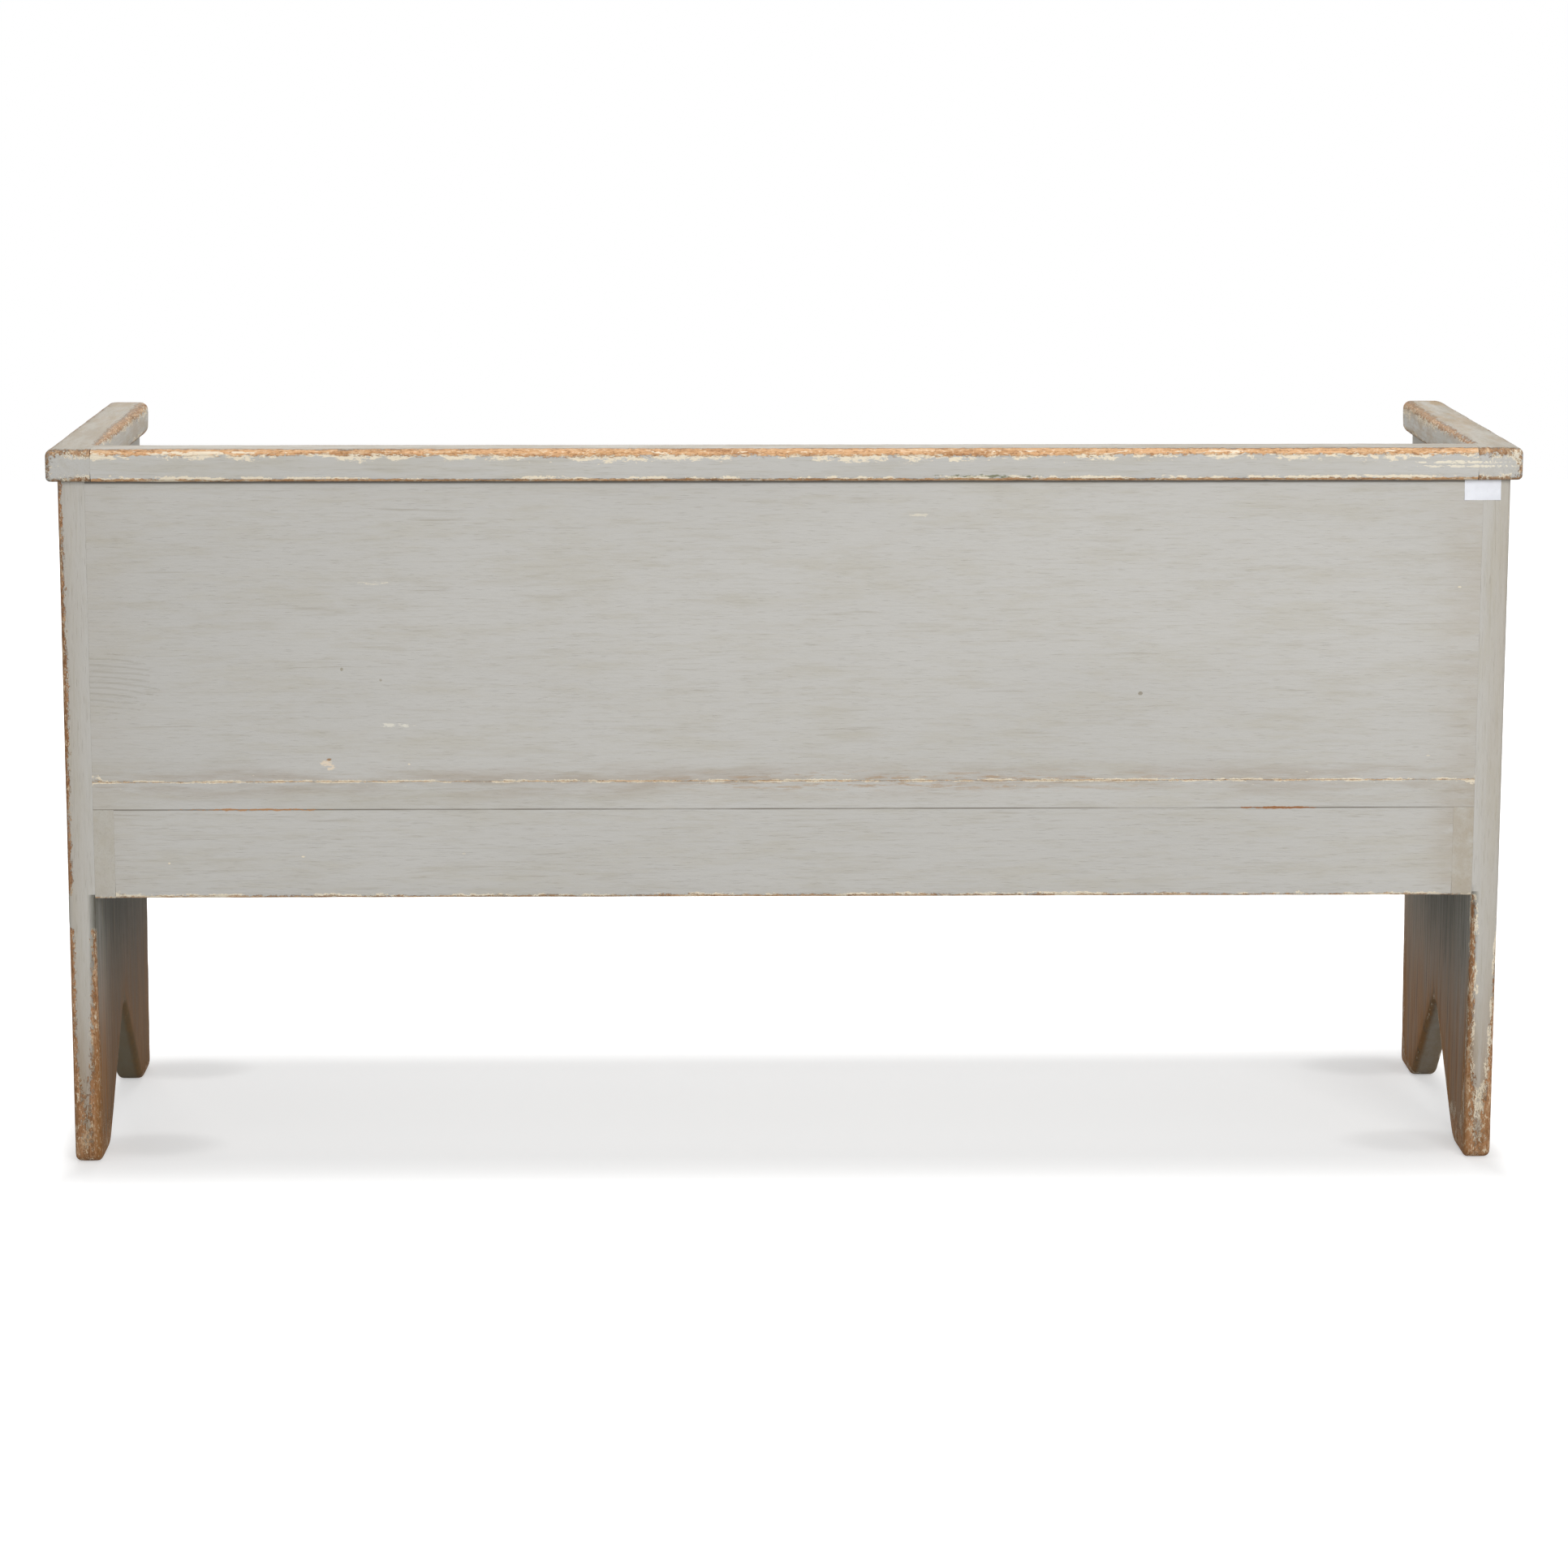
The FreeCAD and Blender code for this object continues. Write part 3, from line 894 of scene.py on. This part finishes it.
# Back. One wide board stands on the seat, between the ends, with its rear face level with theirs.
# It is the plainest and largest painted face of the bench.
low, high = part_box("back_panel")
low.x, high.x = -end_inside, end_inside
low.z, high.z = seat_top, end_top


def marks_on_back(f):
    """The wash at the joint, the painted shadow under the rail, with the chips and dents, and the
    teeth of a plane at one end.
    """
    stains = soiled_joint(f) + smear_at_ends(f, 0.4)
    # A painted shadow: a dark band along the top of the back, just under the rail.
    painted_shadow_below_rail = f.ramp(f.along(Z), end_top - 0.0040, end_top - 0.0015)
    stains.append((f.times(painted_shadow_below_rail, 0.6), "4C4438"))

    # Each mark has its place, half its width and height, how broken up it is, and its colour.
    for x, z, half_width, half_height, broken, stain in (
        (0.533, 0.482, 0.0065, 0.0036, 1.0, "E2D3BE"),
        (0.527, 0.476, 0.0045, 0.0032, 1.0, "E2D3BE"),
        (0.530, 0.485, 0.0040, 0.0016, 0.8, "A08060"),
        (0.454, 0.526, 0.016, 0.0018, 1.6, "DCD8CC"),
        (0.473, 0.693, 0.016, 0.0015, 1.6, "D6D0C1"),
        (-0.156, 0.771, 0.010, 0.0016, 1.2, "D6D0C1"),
        (-0.413, 0.562, 0.0026, 0.0024, 0.4, "9B9588"),
        (0.469, 0.579, 0.0020, 0.0018, 0.4, "ABA598"),
        (0.514, 0.592, 0.0020, 0.0020, 0.4, "A59F91"),
    ):
        stains.append((blotch(f, x, z, half_width, half_height, broken), stain))

    # Bowed ripples in the paint, 7 mm from one to the next.
    from_end = f.math("SUBTRACT", f.along(X), 0.81)
    bowed = f.scale(f.times(from_end, from_end), 1.3, f.along(Z))
    bowed = f.scale(f.noise(12.0, 70.0, 3.0, 0.6, 12.0), 0.008, bowed)
    ripple = f.math("SINE", f.times(bowed, 900.0))
    patch = blotch(f, 0.785, 0.577, 0.056, 0.038, 0.7)
    torn = f.times(patch, f.ramp(ripple, 0.2, 0.95))
    stains.append((f.times(torn, 0.17), "8C8574"))
    return stains


back, lines = plank(
    "back_board",
    low,
    high,
    [
        (joint_arris, 1, 0.0010, [{Y: high.y, Z: low.z}]),
        (hairline, 1, no_rub, [{X: low.x, Y: high.y}, {X: high.x, Y: high.y}]),
        (hairline, 1, no_rub, [{Y: high.y, Z: high.z}]),
    ],
    spacing=(0.012, 0.016, 0.024),
)
weather(back, lines, board_wander)
paint = old_paint("back_paint", X, 37.0, marks_on_back, **worn_joint)
finish_piece(back, paint, "painted_pine", "back_panel")


# Arms and back rail. A thick cap of three boards, butted at the rear corners and worked as one:
# its edges are rounded over all round, and hands have rubbed the paint from them.
cap_nose_radius = 0.015
cap_heel_radius = 0.009
cap_top_radius = 0.008
cap_under_radius = 0.005
cap_wander = 0.0014
cap_slice, cap_slice_across, cap_slice_height = 0.010, 0.018, 0.012
nose_depth = 0.004
nose_lift = 0.0055
nose_lift_reach = 0.024
arm_low, arm_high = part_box("arm_left")
cap_underside, cap_top = end_top, arm_high.z
cap_nose, cap_heel = arm_low.y, arm_high.y
arm_outside = -arm_low.x
arm_inside = -arm_high.x
rail_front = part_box("back_rail")[0].y

# The joints lie just clear of the arms' inner sides, so that the saw doesn't run along them.
seam = arm_inside - 0.0006

bpy.ops.mesh.primitive_plane_add(
    size=1,
    location=(0, (cap_nose + cap_heel) / 2, cap_underside),
)
cap = bpy.context.object
cap.scale = (2 * arm_outside, cap_heel - cap_nose, 1)
bpy.ops.object.transform_apply()
start_edit(cap)
cut_through(X, -arm_inside)
cut_through(X, arm_inside)
cut_through(Y, rail_front)
bpy.ops.mesh.select_mode(type="FACE")
bpy.ops.mesh.select_all(action="DESELECT")
mesh = bmesh.from_edit_mesh(cap.data)
for face in mesh.faces:
    middle = face.calc_center_median()
    face.select_set(abs(middle.x) < arm_inside and middle.y < rail_front)
bmesh.update_edit_mesh(cap.data)
bpy.ops.mesh.delete(type="FACE")
bpy.ops.mesh.select_all(action="SELECT")
bpy.ops.mesh.dissolve_limited(angle_limit=math.radians(1))
bpy.ops.mesh.select_all(action="SELECT")
bpy.ops.mesh.extrude_region_move(
    TRANSFORM_OT_translate={"value": (0, 0, cap_top - cap_underside)}
)
bpy.ops.mesh.select_all(action="SELECT")
bpy.ops.mesh.normals_make_consistent(inside=False)
bpy.ops.mesh.select_mode(type="EDGE")
for end_y, radius, steps in ((cap_nose, cap_nose_radius, 8), (cap_heel, cap_heel_radius, 6)):
    round_over(lambda a, b: on({Y: end_y})(a, b) and not near(a.z, b.z), radius, steps)
round_over(on({Z: cap_top}), cap_top_radius, 5)
round_over(on({Z: cap_underside}), cap_under_radius, 4)
end_edit()


def part_of_cap(name, cuts):
    """A board of the cap: a copy of the whole, sawn off where it is butted to the next."""
    piece = cap.copy()
    piece.data = cap.data.copy()
    piece.name = piece.data.name = name
    bpy.context.scene.collection.objects.link(piece)
    start_edit(piece)
    for value, keep in cuts:
        cut_through(X, value, keep)
        round_over(on({X: value}), hairline, 1)
    return piece


def cap_lines(rubs):
    """The lines of the cap's corners, each (x, y) at its two ends, and the rubs above and below."""
    lines = []
    for (ax, ay), (bx, by), top, under in rubs:
        for z, rubs_here in ((cap_top, top), (cap_underside, under)):
            lines.append((Vector((ax, ay, z)), Vector((bx, by, z)), *rubs_here))
    return lines


def handled_and_shaded_top(f):
    """Where dust, hands and painted shade have browned the top of the cap, the painted shadow along
    its underside, and the cream scrapes at one end.
    """
    # Browner along the top of the cap: dust, and painted shade that takes the top faces down to the
    # brightness of the rest.
    top = f.ramp(f.along(Z), cap_top - 0.004, cap_top - 0.0005)
    uneven = f.ramp(f.noise(9.0, 38.0, 6.0, 0.75, 97.0), 0.42, 0.62)
    uneven = f.scale(uneven, 0.32, 0.25)
    # A painted shadow: a dark band along the cap's lower edge and underside.
    below = f.ramp(f.along(Z), cap_underside + 0.0045, cap_underside + 0.0010)
    stains = [(f.times(top, uneven), "958A78"), (f.times(below, 0.8), "4E3F2F")]
    for x, z, half_width, half_height, broken, stain in (
        (-0.772, 0.8335, 0.046, 0.0016, 1.3, "E6DECB"),
        (-0.778, 0.8290, 0.052, 0.0014, 1.4, "E6DECB"),
        (-0.226, 0.8180, 0.045, 0.0016, 2.0, "85866F"),
    ):
        stains.append((blotch(f, x, z, half_width, half_height, broken), stain))
    return stains


def handled_and_shaded_arm(f):
    """The same, and where hands have thinned the paint of the arms, most towards the front."""
    front = f.ramp(f.along(Y), rail_front, cap_nose)
    off_rear = f.ramp(f.along(Y), cap_heel - 0.004, rail_front)
    rubbed = f.ramp(f.noise(9.0, 42.0, 6.0, 0.75, 91.0), 0.40, 0.62)
    more = f.scale(f.math("GREATER_THAN", 0.0, f.along(X)), 0.4, 0.6)
    thin = f.times(rubbed, off_rear, f.scale(front, 0.5, 0.2))
    dusty = f.ramp(f.along(Z), cap_top - 0.004, cap_top - 0.0005)
    dusty = f.times(dusty, f.math("GREATER_THAN", f.along(X), 0.0))
    return handled_and_shaded_top(f) + [
        (f.times(thin, more), "A48B69"),
        (f.times(dusty, 0.28), "8A8070"),
    ]


for side_name, side in SIDES.items():
    node = "arm_" + side_name
    out, inn = side * arm_outside, side * arm_inside
    arm_middle = (cap_nose + rail_front) / 2
    arm = part_of_cap(node + "_board", [(side * seam, side)])
    slice_up(Y, cap_nose, cap_heel, cap_slice)
    slice_up(X, min(out, inn), max(out, inn), cap_slice_across)
    slice_up(Z, cap_underside, cap_top, cap_slice_height)

    # The underside of the nose is rounder than the rest.
    select_points(
        lambda p: p.y < cap_nose + nose_depth and p.z < cap_underside + cap_under_radius
    )
    pull((0, nose_lift, nose_lift), nose_lift_reach)
    end_edit()
    lines = cap_lines(
        [
            ((out, cap_nose), (out, cap_heel), (0.0062, 0.0058), (0.004, 0.004)),
            ((inn, cap_nose), (inn, arm_middle), (0.0088, 0.0066), (0.005, 0.004)),
            ((inn, arm_middle), (inn, rail_front), (0.0066, 0.0042), (0.004, 0.003)),
            ((out, cap_nose), (inn, cap_nose), (0.0090, 0.0090), (0.006, 0.007)),
            ((out, cap_heel), (inn, cap_heel), (0.0066, 0.0066), (0.0045, 0.0045)),
        ]
    )
    lines.append(
        (Vector((out, cap_heel, cap_underside)), Vector((out, cap_heel, cap_top)), 0.0055, 0.0065)
    )
    for x, rub in ((out, 0.007), (inn, 0.012)):
        foot, head = Vector((x, cap_nose, cap_underside)), Vector((x, cap_nose, cap_top))
        lines.append((foot, head, rub, rub))
    weather(arm, lines, cap_wander)
    paint = old_paint(
        node + "_paint",
        Y,
        45.0 + 3 * side,
        handled_and_shaded_arm,
        wood=("B5906E", "9D7B5C", "7B5D42"),
        cream_below=cap_top - 0.003,
        cream_amount=1.5,
        raggedness=1.3,
        creamier=lambda f: f.ramp(f.along(Y), rail_front, cap_heel),
    )
    finish_piece(arm, paint, "painted_pine", node)

rail = part_of_cap("back_rail_board", [(-seam, 1), (seam, -1)])
slice_up(X, -arm_inside, arm_inside, cap_slice)
slice_up(Y, rail_front, cap_heel, cap_slice_across)
slice_up(Z, cap_underside, cap_top, cap_slice_height)
end_edit()
lines = cap_lines(
    [
        ((-arm_inside, cap_heel), (-0.3, cap_heel), (0.0070, 0.0078), (0.0040, 0.0034)),
        ((-0.3, cap_heel), (0.52, cap_heel), (0.0078, 0.0082), (0.0034, 0.0038)),
        ((0.52, cap_heel), (arm_inside, cap_heel), (0.0076, 0.0066), (0.0036, 0.0042)),
        ((-arm_inside, rail_front), (arm_inside, rail_front), (0.008, 0.008), (0.004, 0.004)),
    ]
)
weather(rail, lines, cap_wander)
paint = old_paint(
    "back_rail_paint",
    X,
    53.0,
    handled_and_shaded_top,
    cream_below=cap_top - 0.003,
    cream_amount=1.8,
    raggedness=0.6,
    flakes=0.6,
    creamier=lambda f: f.times(f.ramp(f.along(X), 0.57, 0.64), f.ramp(f.along(X), 0.77, 0.72)),
)
finish_piece(rail, paint, "painted_pine", "back_rail")
bpy.data.objects.remove(cap)


# Cross brace, corner blocks and cleats. Offcuts of bare pine under the seat: the brace is let into
# both aprons, the blocks tie the corners, and the cleats carry the screws that hold the seat down.
def bare_pine(name, grain, seed):
    """Sawn pine that was never painted, aged to a dull honey brown."""
    f = Finish(name, grain)
    rings = f.noise(1.6, 85.0, 3.0, 0.55, seed)
    fine = f.noise(20.0, 600.0, 3.0, 0.6, seed + 3)
    stain = f.noise(6.0, 14.0, 4.0, 0.6, seed + 7)
    color = f.mix(f.ramp(rings, 0.42, 0.6), tint("BE9A6E"), tint("9C7449"))
    color = f.stain(color, f.ramp(fine, 0.5, 0.7), 0.4, "85603C")
    color = f.stain(color, f.ramp(stain, 0.45, 0.7), 0.5, "7D6A52")
    roughness = f.scale(fine, 0.2, 0.62)
    height = f.math("ADD", f.times(rings, 0.5), f.times(fine, 0.5))
    sawn_relief = 0.0004
    return f.finish(color, roughness, height, sawn_relief, Specular_IOR_Level=0.25)


tenon_length = 0.012
low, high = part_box("cross_brace")
low.y, high.y = low.y + tenon_length, high.y - tenon_length
brace, lines = plank(
    "cross_brace_board",
    low,
    high,
    [(0.0015, 2, 0.0001, [{X: low.x, Z: low.z}, {X: high.x, Z: low.z}])],
    (0.014, 0.02, 0.02),
)
mark_wear(brace, lines)
smooth(brace)
finish_piece(brace, bare_pine("brace_pine", Y, 3.0), "bare_pine", "cross_brace")

block_pine = bare_pine("block_pine", Z, 9.0)
cleat_pine = bare_pine("cleat_pine", X, 15.0)
for row in ("front", "back"):
    for side_name in SIDES:
        for node, pine in (
            (f"corner_block_{row}_{side_name}", block_pine),
            (f"seat_cleat_{row}_{side_name}", cleat_pine),
        ):
            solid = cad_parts[node]
            solid.data.materials.clear()
            solid.data.materials.append(pine)


# Screws. Slotted countersunk steel wood screws hold the bearers to the ends, the blocks and the
# cleats to the frame, and the seat to the cleats. Their heads have dulled to a brown grey.
screw_shank_radius = 0.0020
screw_head_height = 0.0026
screw_tip_length = 0.006
screw_length = 0.040
head_rim = 0.0003
screw_tip_radius = 0.0005
slot_width = 0.0009
slot_depth = 0.0011
slot_reach = 0.01

bpy.ops.mesh.primitive_circle_add(
    vertices=20, radius=screw_head_radius, fill_type="NGON", location=(0, 0, 0)
)
pattern = bpy.context.object
pattern.name = pattern.data.name = "screw_pattern"
start_edit(pattern)
bpy.ops.mesh.select_mode(type="FACE")
bpy.ops.mesh.select_all(action="SELECT")
for down, to_radius, from_radius in (
    (head_rim, screw_head_radius, screw_head_radius),
    (screw_head_height - head_rim, screw_shank_radius, screw_head_radius),
    (screw_length - screw_head_height - screw_tip_length, screw_shank_radius, screw_shank_radius),
    (screw_tip_length, screw_tip_radius, screw_shank_radius),
):
    bpy.ops.mesh.extrude_region_move(TRANSFORM_OT_translate={"value": (0, 0, -down)})
    share = to_radius / from_radius
    bpy.ops.transform.resize(value=(share, share, 1))
bpy.ops.mesh.select_mode(type="EDGE")
bpy.ops.mesh.select_all(action="SELECT")
bpy.ops.mesh.normals_make_consistent(inside=False)
end_edit()
driver_slot = block(
    "driver_slot",
    (-slot_reach, -slot_width / 2, -slot_depth),
    (slot_reach, slot_width / 2, slot_reach),
)
cut_out(pattern, driver_slot)
smooth(pattern)


def dull_steel():
    f = Finish("screw_steel", Z)
    tarnish = f.noise(300.0, 300.0, 4.0, 0.6, 5.0)
    color = f.mix(f.ramp(tarnish, 0.4, 0.65), tint("8F8A82"), tint("5E4F41"))
    roughness = f.scale(tarnish, 0.35, 0.25)
    tarnish_relief = 0.0001
    return f.finish(color, roughness, tarnish, tarnish_relief, Metallic=0.9)


steel = dull_steel()
brace_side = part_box("cross_brace")[1].x
screws = {"block_screws": [], "cleat_screws": [], "seat_screws": [], "bearer_screws": bearer_screws}

# Where they go: shares of a block's height, and of a cleat's length from the brace outwards.
low_screw, high_screw = 0.3, 0.68
cleat_shares = (0.12, 0.62)
seat_shares = (0.38, 0.88)
turn_apart = 0.9
for row, inward in (("front", 1), ("back", -1)):
    for side_name, side in SIDES.items():
        low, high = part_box(f"corner_block_{row}_{side_name}")
        outward_y, outward_x = Vector((0, -inward, 0)), Vector((side, 0, 0))
        inner_y = high.y if inward > 0 else low.y
        inner_x = low.x if side > 0 else high.x
        screws["block_screws"] += [
            (Vector(((low.x + high.x) / 2, inner_y, between(low.z, high.z, low_screw))), outward_y),
            (Vector((inner_x, (low.y + high.y) / 2, between(low.z, high.z, high_screw))), outward_x),
        ]
        low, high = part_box(f"seat_cleat_{row}_{side_name}")
        near_x, far_x = side * brace_side, inner_x
        inner_y = high.y if inward > 0 else low.y
        for share in cleat_shares:
            entry = (between(near_x, far_x, share), inner_y, (low.z + high.z) / 2)
            screws["cleat_screws"].append((Vector(entry), outward_y))
        for share in seat_shares:
            entry = (between(near_x, far_x, share), (low.y + high.y) / 2, low.z)
            screws["seat_screws"].append((Vector(entry), Vector((0, 0, 1))))

for number, (group, places) in enumerate(screws.items()):
    copies = []
    for i, (entry, direction) in enumerate(places):
        screw = pattern.copy()
        screw.data = pattern.data.copy()
        screw.name = f"{group}_{i}"
        bpy.context.scene.collection.objects.link(screw)
        screw.rotation_mode = "QUATERNION"
        turn = (-direction).to_track_quat("Z", "Y")
        screw.rotation_quaternion = turn @ Quaternion((0, 0, 1), turn_apart * i + number)
        screw.location = entry + direction * screw_sink
        copies.append(screw)
    bpy.ops.object.select_all(action="DESELECT")
    for screw in copies:
        screw.select_set(True)
    bpy.context.view_layer.objects.active = copies[0]
    bpy.ops.object.join()
    bpy.ops.object.transform_apply()
    joined = bpy.context.object
    joined.name = joined.data.name = group + "_slotted"
    finish_piece(joined, steel, "screw_steel", group)
bpy.data.objects.remove(pattern)


# Label. A blank slip of white paper is stuck under the right end of the rail, across the joint of
# the back and the end, with its lower corners lifting a little.
label_low = Vector((-0.826, 0.24305, 0.788))
label_high = Vector((-0.784, 0.24320, 0.8115))
label_grid = 0.003
label_curl = 0.0010
label_curl_reach = 0.012
label = block("paper_label", label_low, label_high)
start_edit(label)
slice_up(X, label_low.x, label_high.x, label_grid)
slice_up(Z, label_low.z, label_high.z, label_grid)
select_points(
    lambda p: near(p.z, label_low.z) and (near(p.x, label_low.x) or near(p.x, label_high.x))
)
pull((0, label_curl, 0), label_curl_reach)
end_edit()
smooth(label, degrees=60)
f = Finish("label_paper", X)
fibres = f.noise(300.0, 700.0, 4.0, 0.6, 2.0)
creased = f.noise(60.0, 60.0, 3.0, 0.5, 8.0)
white = f.mix(f.ramp(creased, 0.35, 0.7), tint("E9EBF1"), tint("DEE0E6"))
paper = f.finish(white, f.scale(fibres, 0.1, 0.75), fibres, 0.00005)
label.data.materials.append(paper)
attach(label, "root")


# Floor. A plain white sweep of studio paper under the bench, which the camera sees as white
# but for the soft shadow that the bench throws on it.
floor_half = 6.0
bpy.ops.mesh.primitive_plane_add(size=2 * floor_half, location=(0, 0, 0))
floor = bpy.context.object
floor.name = floor.data.name = "studio_floor"
f = Finish("studio_paper", X)

# How much whiter than its shadows the paper glows for the camera under the bench, round it, and far
# from it. The first gives way to the second from just inside the ends, the front and the back:
# painted light that cuts the bench's shadow off there.
glow_under, glow_beside, glow_afar = 0.43, 0.85, 0.9
end_from, end_to = 0.825, 0.885
middle_y, depth_from, depth_to = 0.05, 0.20, 0.41
afar_from, afar_to = 0.9, 2.6
aside = f.math("ABSOLUTE", f.along(X))
from_middle = f.node("ShaderNodeVectorMath", operation="LENGTH")
f.plug(f.place, from_middle.inputs[0])
afar = f.ramp(from_middle.outputs["Value"], afar_from, afar_to)
glow = f.scale(afar, glow_afar - glow_under, glow_under)
off_middle = f.math("ABSOLUTE", f.math("SUBTRACT", f.along(Y), middle_y))
beside = f.math("MAXIMUM", f.ramp(aside, end_from, end_to), f.ramp(off_middle, depth_from, depth_to))
beside = f.scale(beside, glow_beside - glow_under, glow_under)
glow = f.math("MAXIMUM", glow, beside)

# A painted shadow: the paper glows less in a round patch beside each foot, on its inner side, where
# hardly any light gets in.
patch_x, patch_width = 0.755, 0.10
patch_middle_y, patch_y, patch_depth = 0.005, 0.165, 0.06
painted_foot_shadow = 0.10
across = f.math("DIVIDE", f.math("SUBTRACT", aside, patch_x), patch_width)
lengthways = f.math("ABSOLUTE", f.math("SUBTRACT", f.along(Y), patch_middle_y))
lengthways = f.math("DIVIDE", f.math("SUBTRACT", lengthways, patch_y), patch_depth)
away = f.scale(across, across, f.times(lengthways, lengthways))
glow = f.math("SUBTRACT", glow, f.times(f.ramp(away, 1.0, 0.0), painted_foot_shadow))
rays = f.node("ShaderNodeLightPath")
floor_seen = f.math("MAXIMUM", rays.outputs["Is Camera Ray"], rays.outputs["Is Glossy Ray"])
paper_seen = f.node("ShaderNodeEmission")
f.plug(f.times(glow, floor_seen), paper_seen.inputs["Strength"])
paper_lit = f.node("ShaderNodeBsdfDiffuse")
paper_grey = 0.62
paper_lit.inputs["Color"].default_value = (paper_grey, paper_grey, paper_grey, 1)
both = f.node("ShaderNodeAddShader")
floor_out = f.node("ShaderNodeOutputMaterial")
f.plug(paper_lit.outputs[0], both.inputs[0])
f.plug(paper_seen.outputs[0], both.inputs[1])
f.plug(both.outputs[0], floor_out.inputs["Surface"])
floor.data.materials.append(f.material)
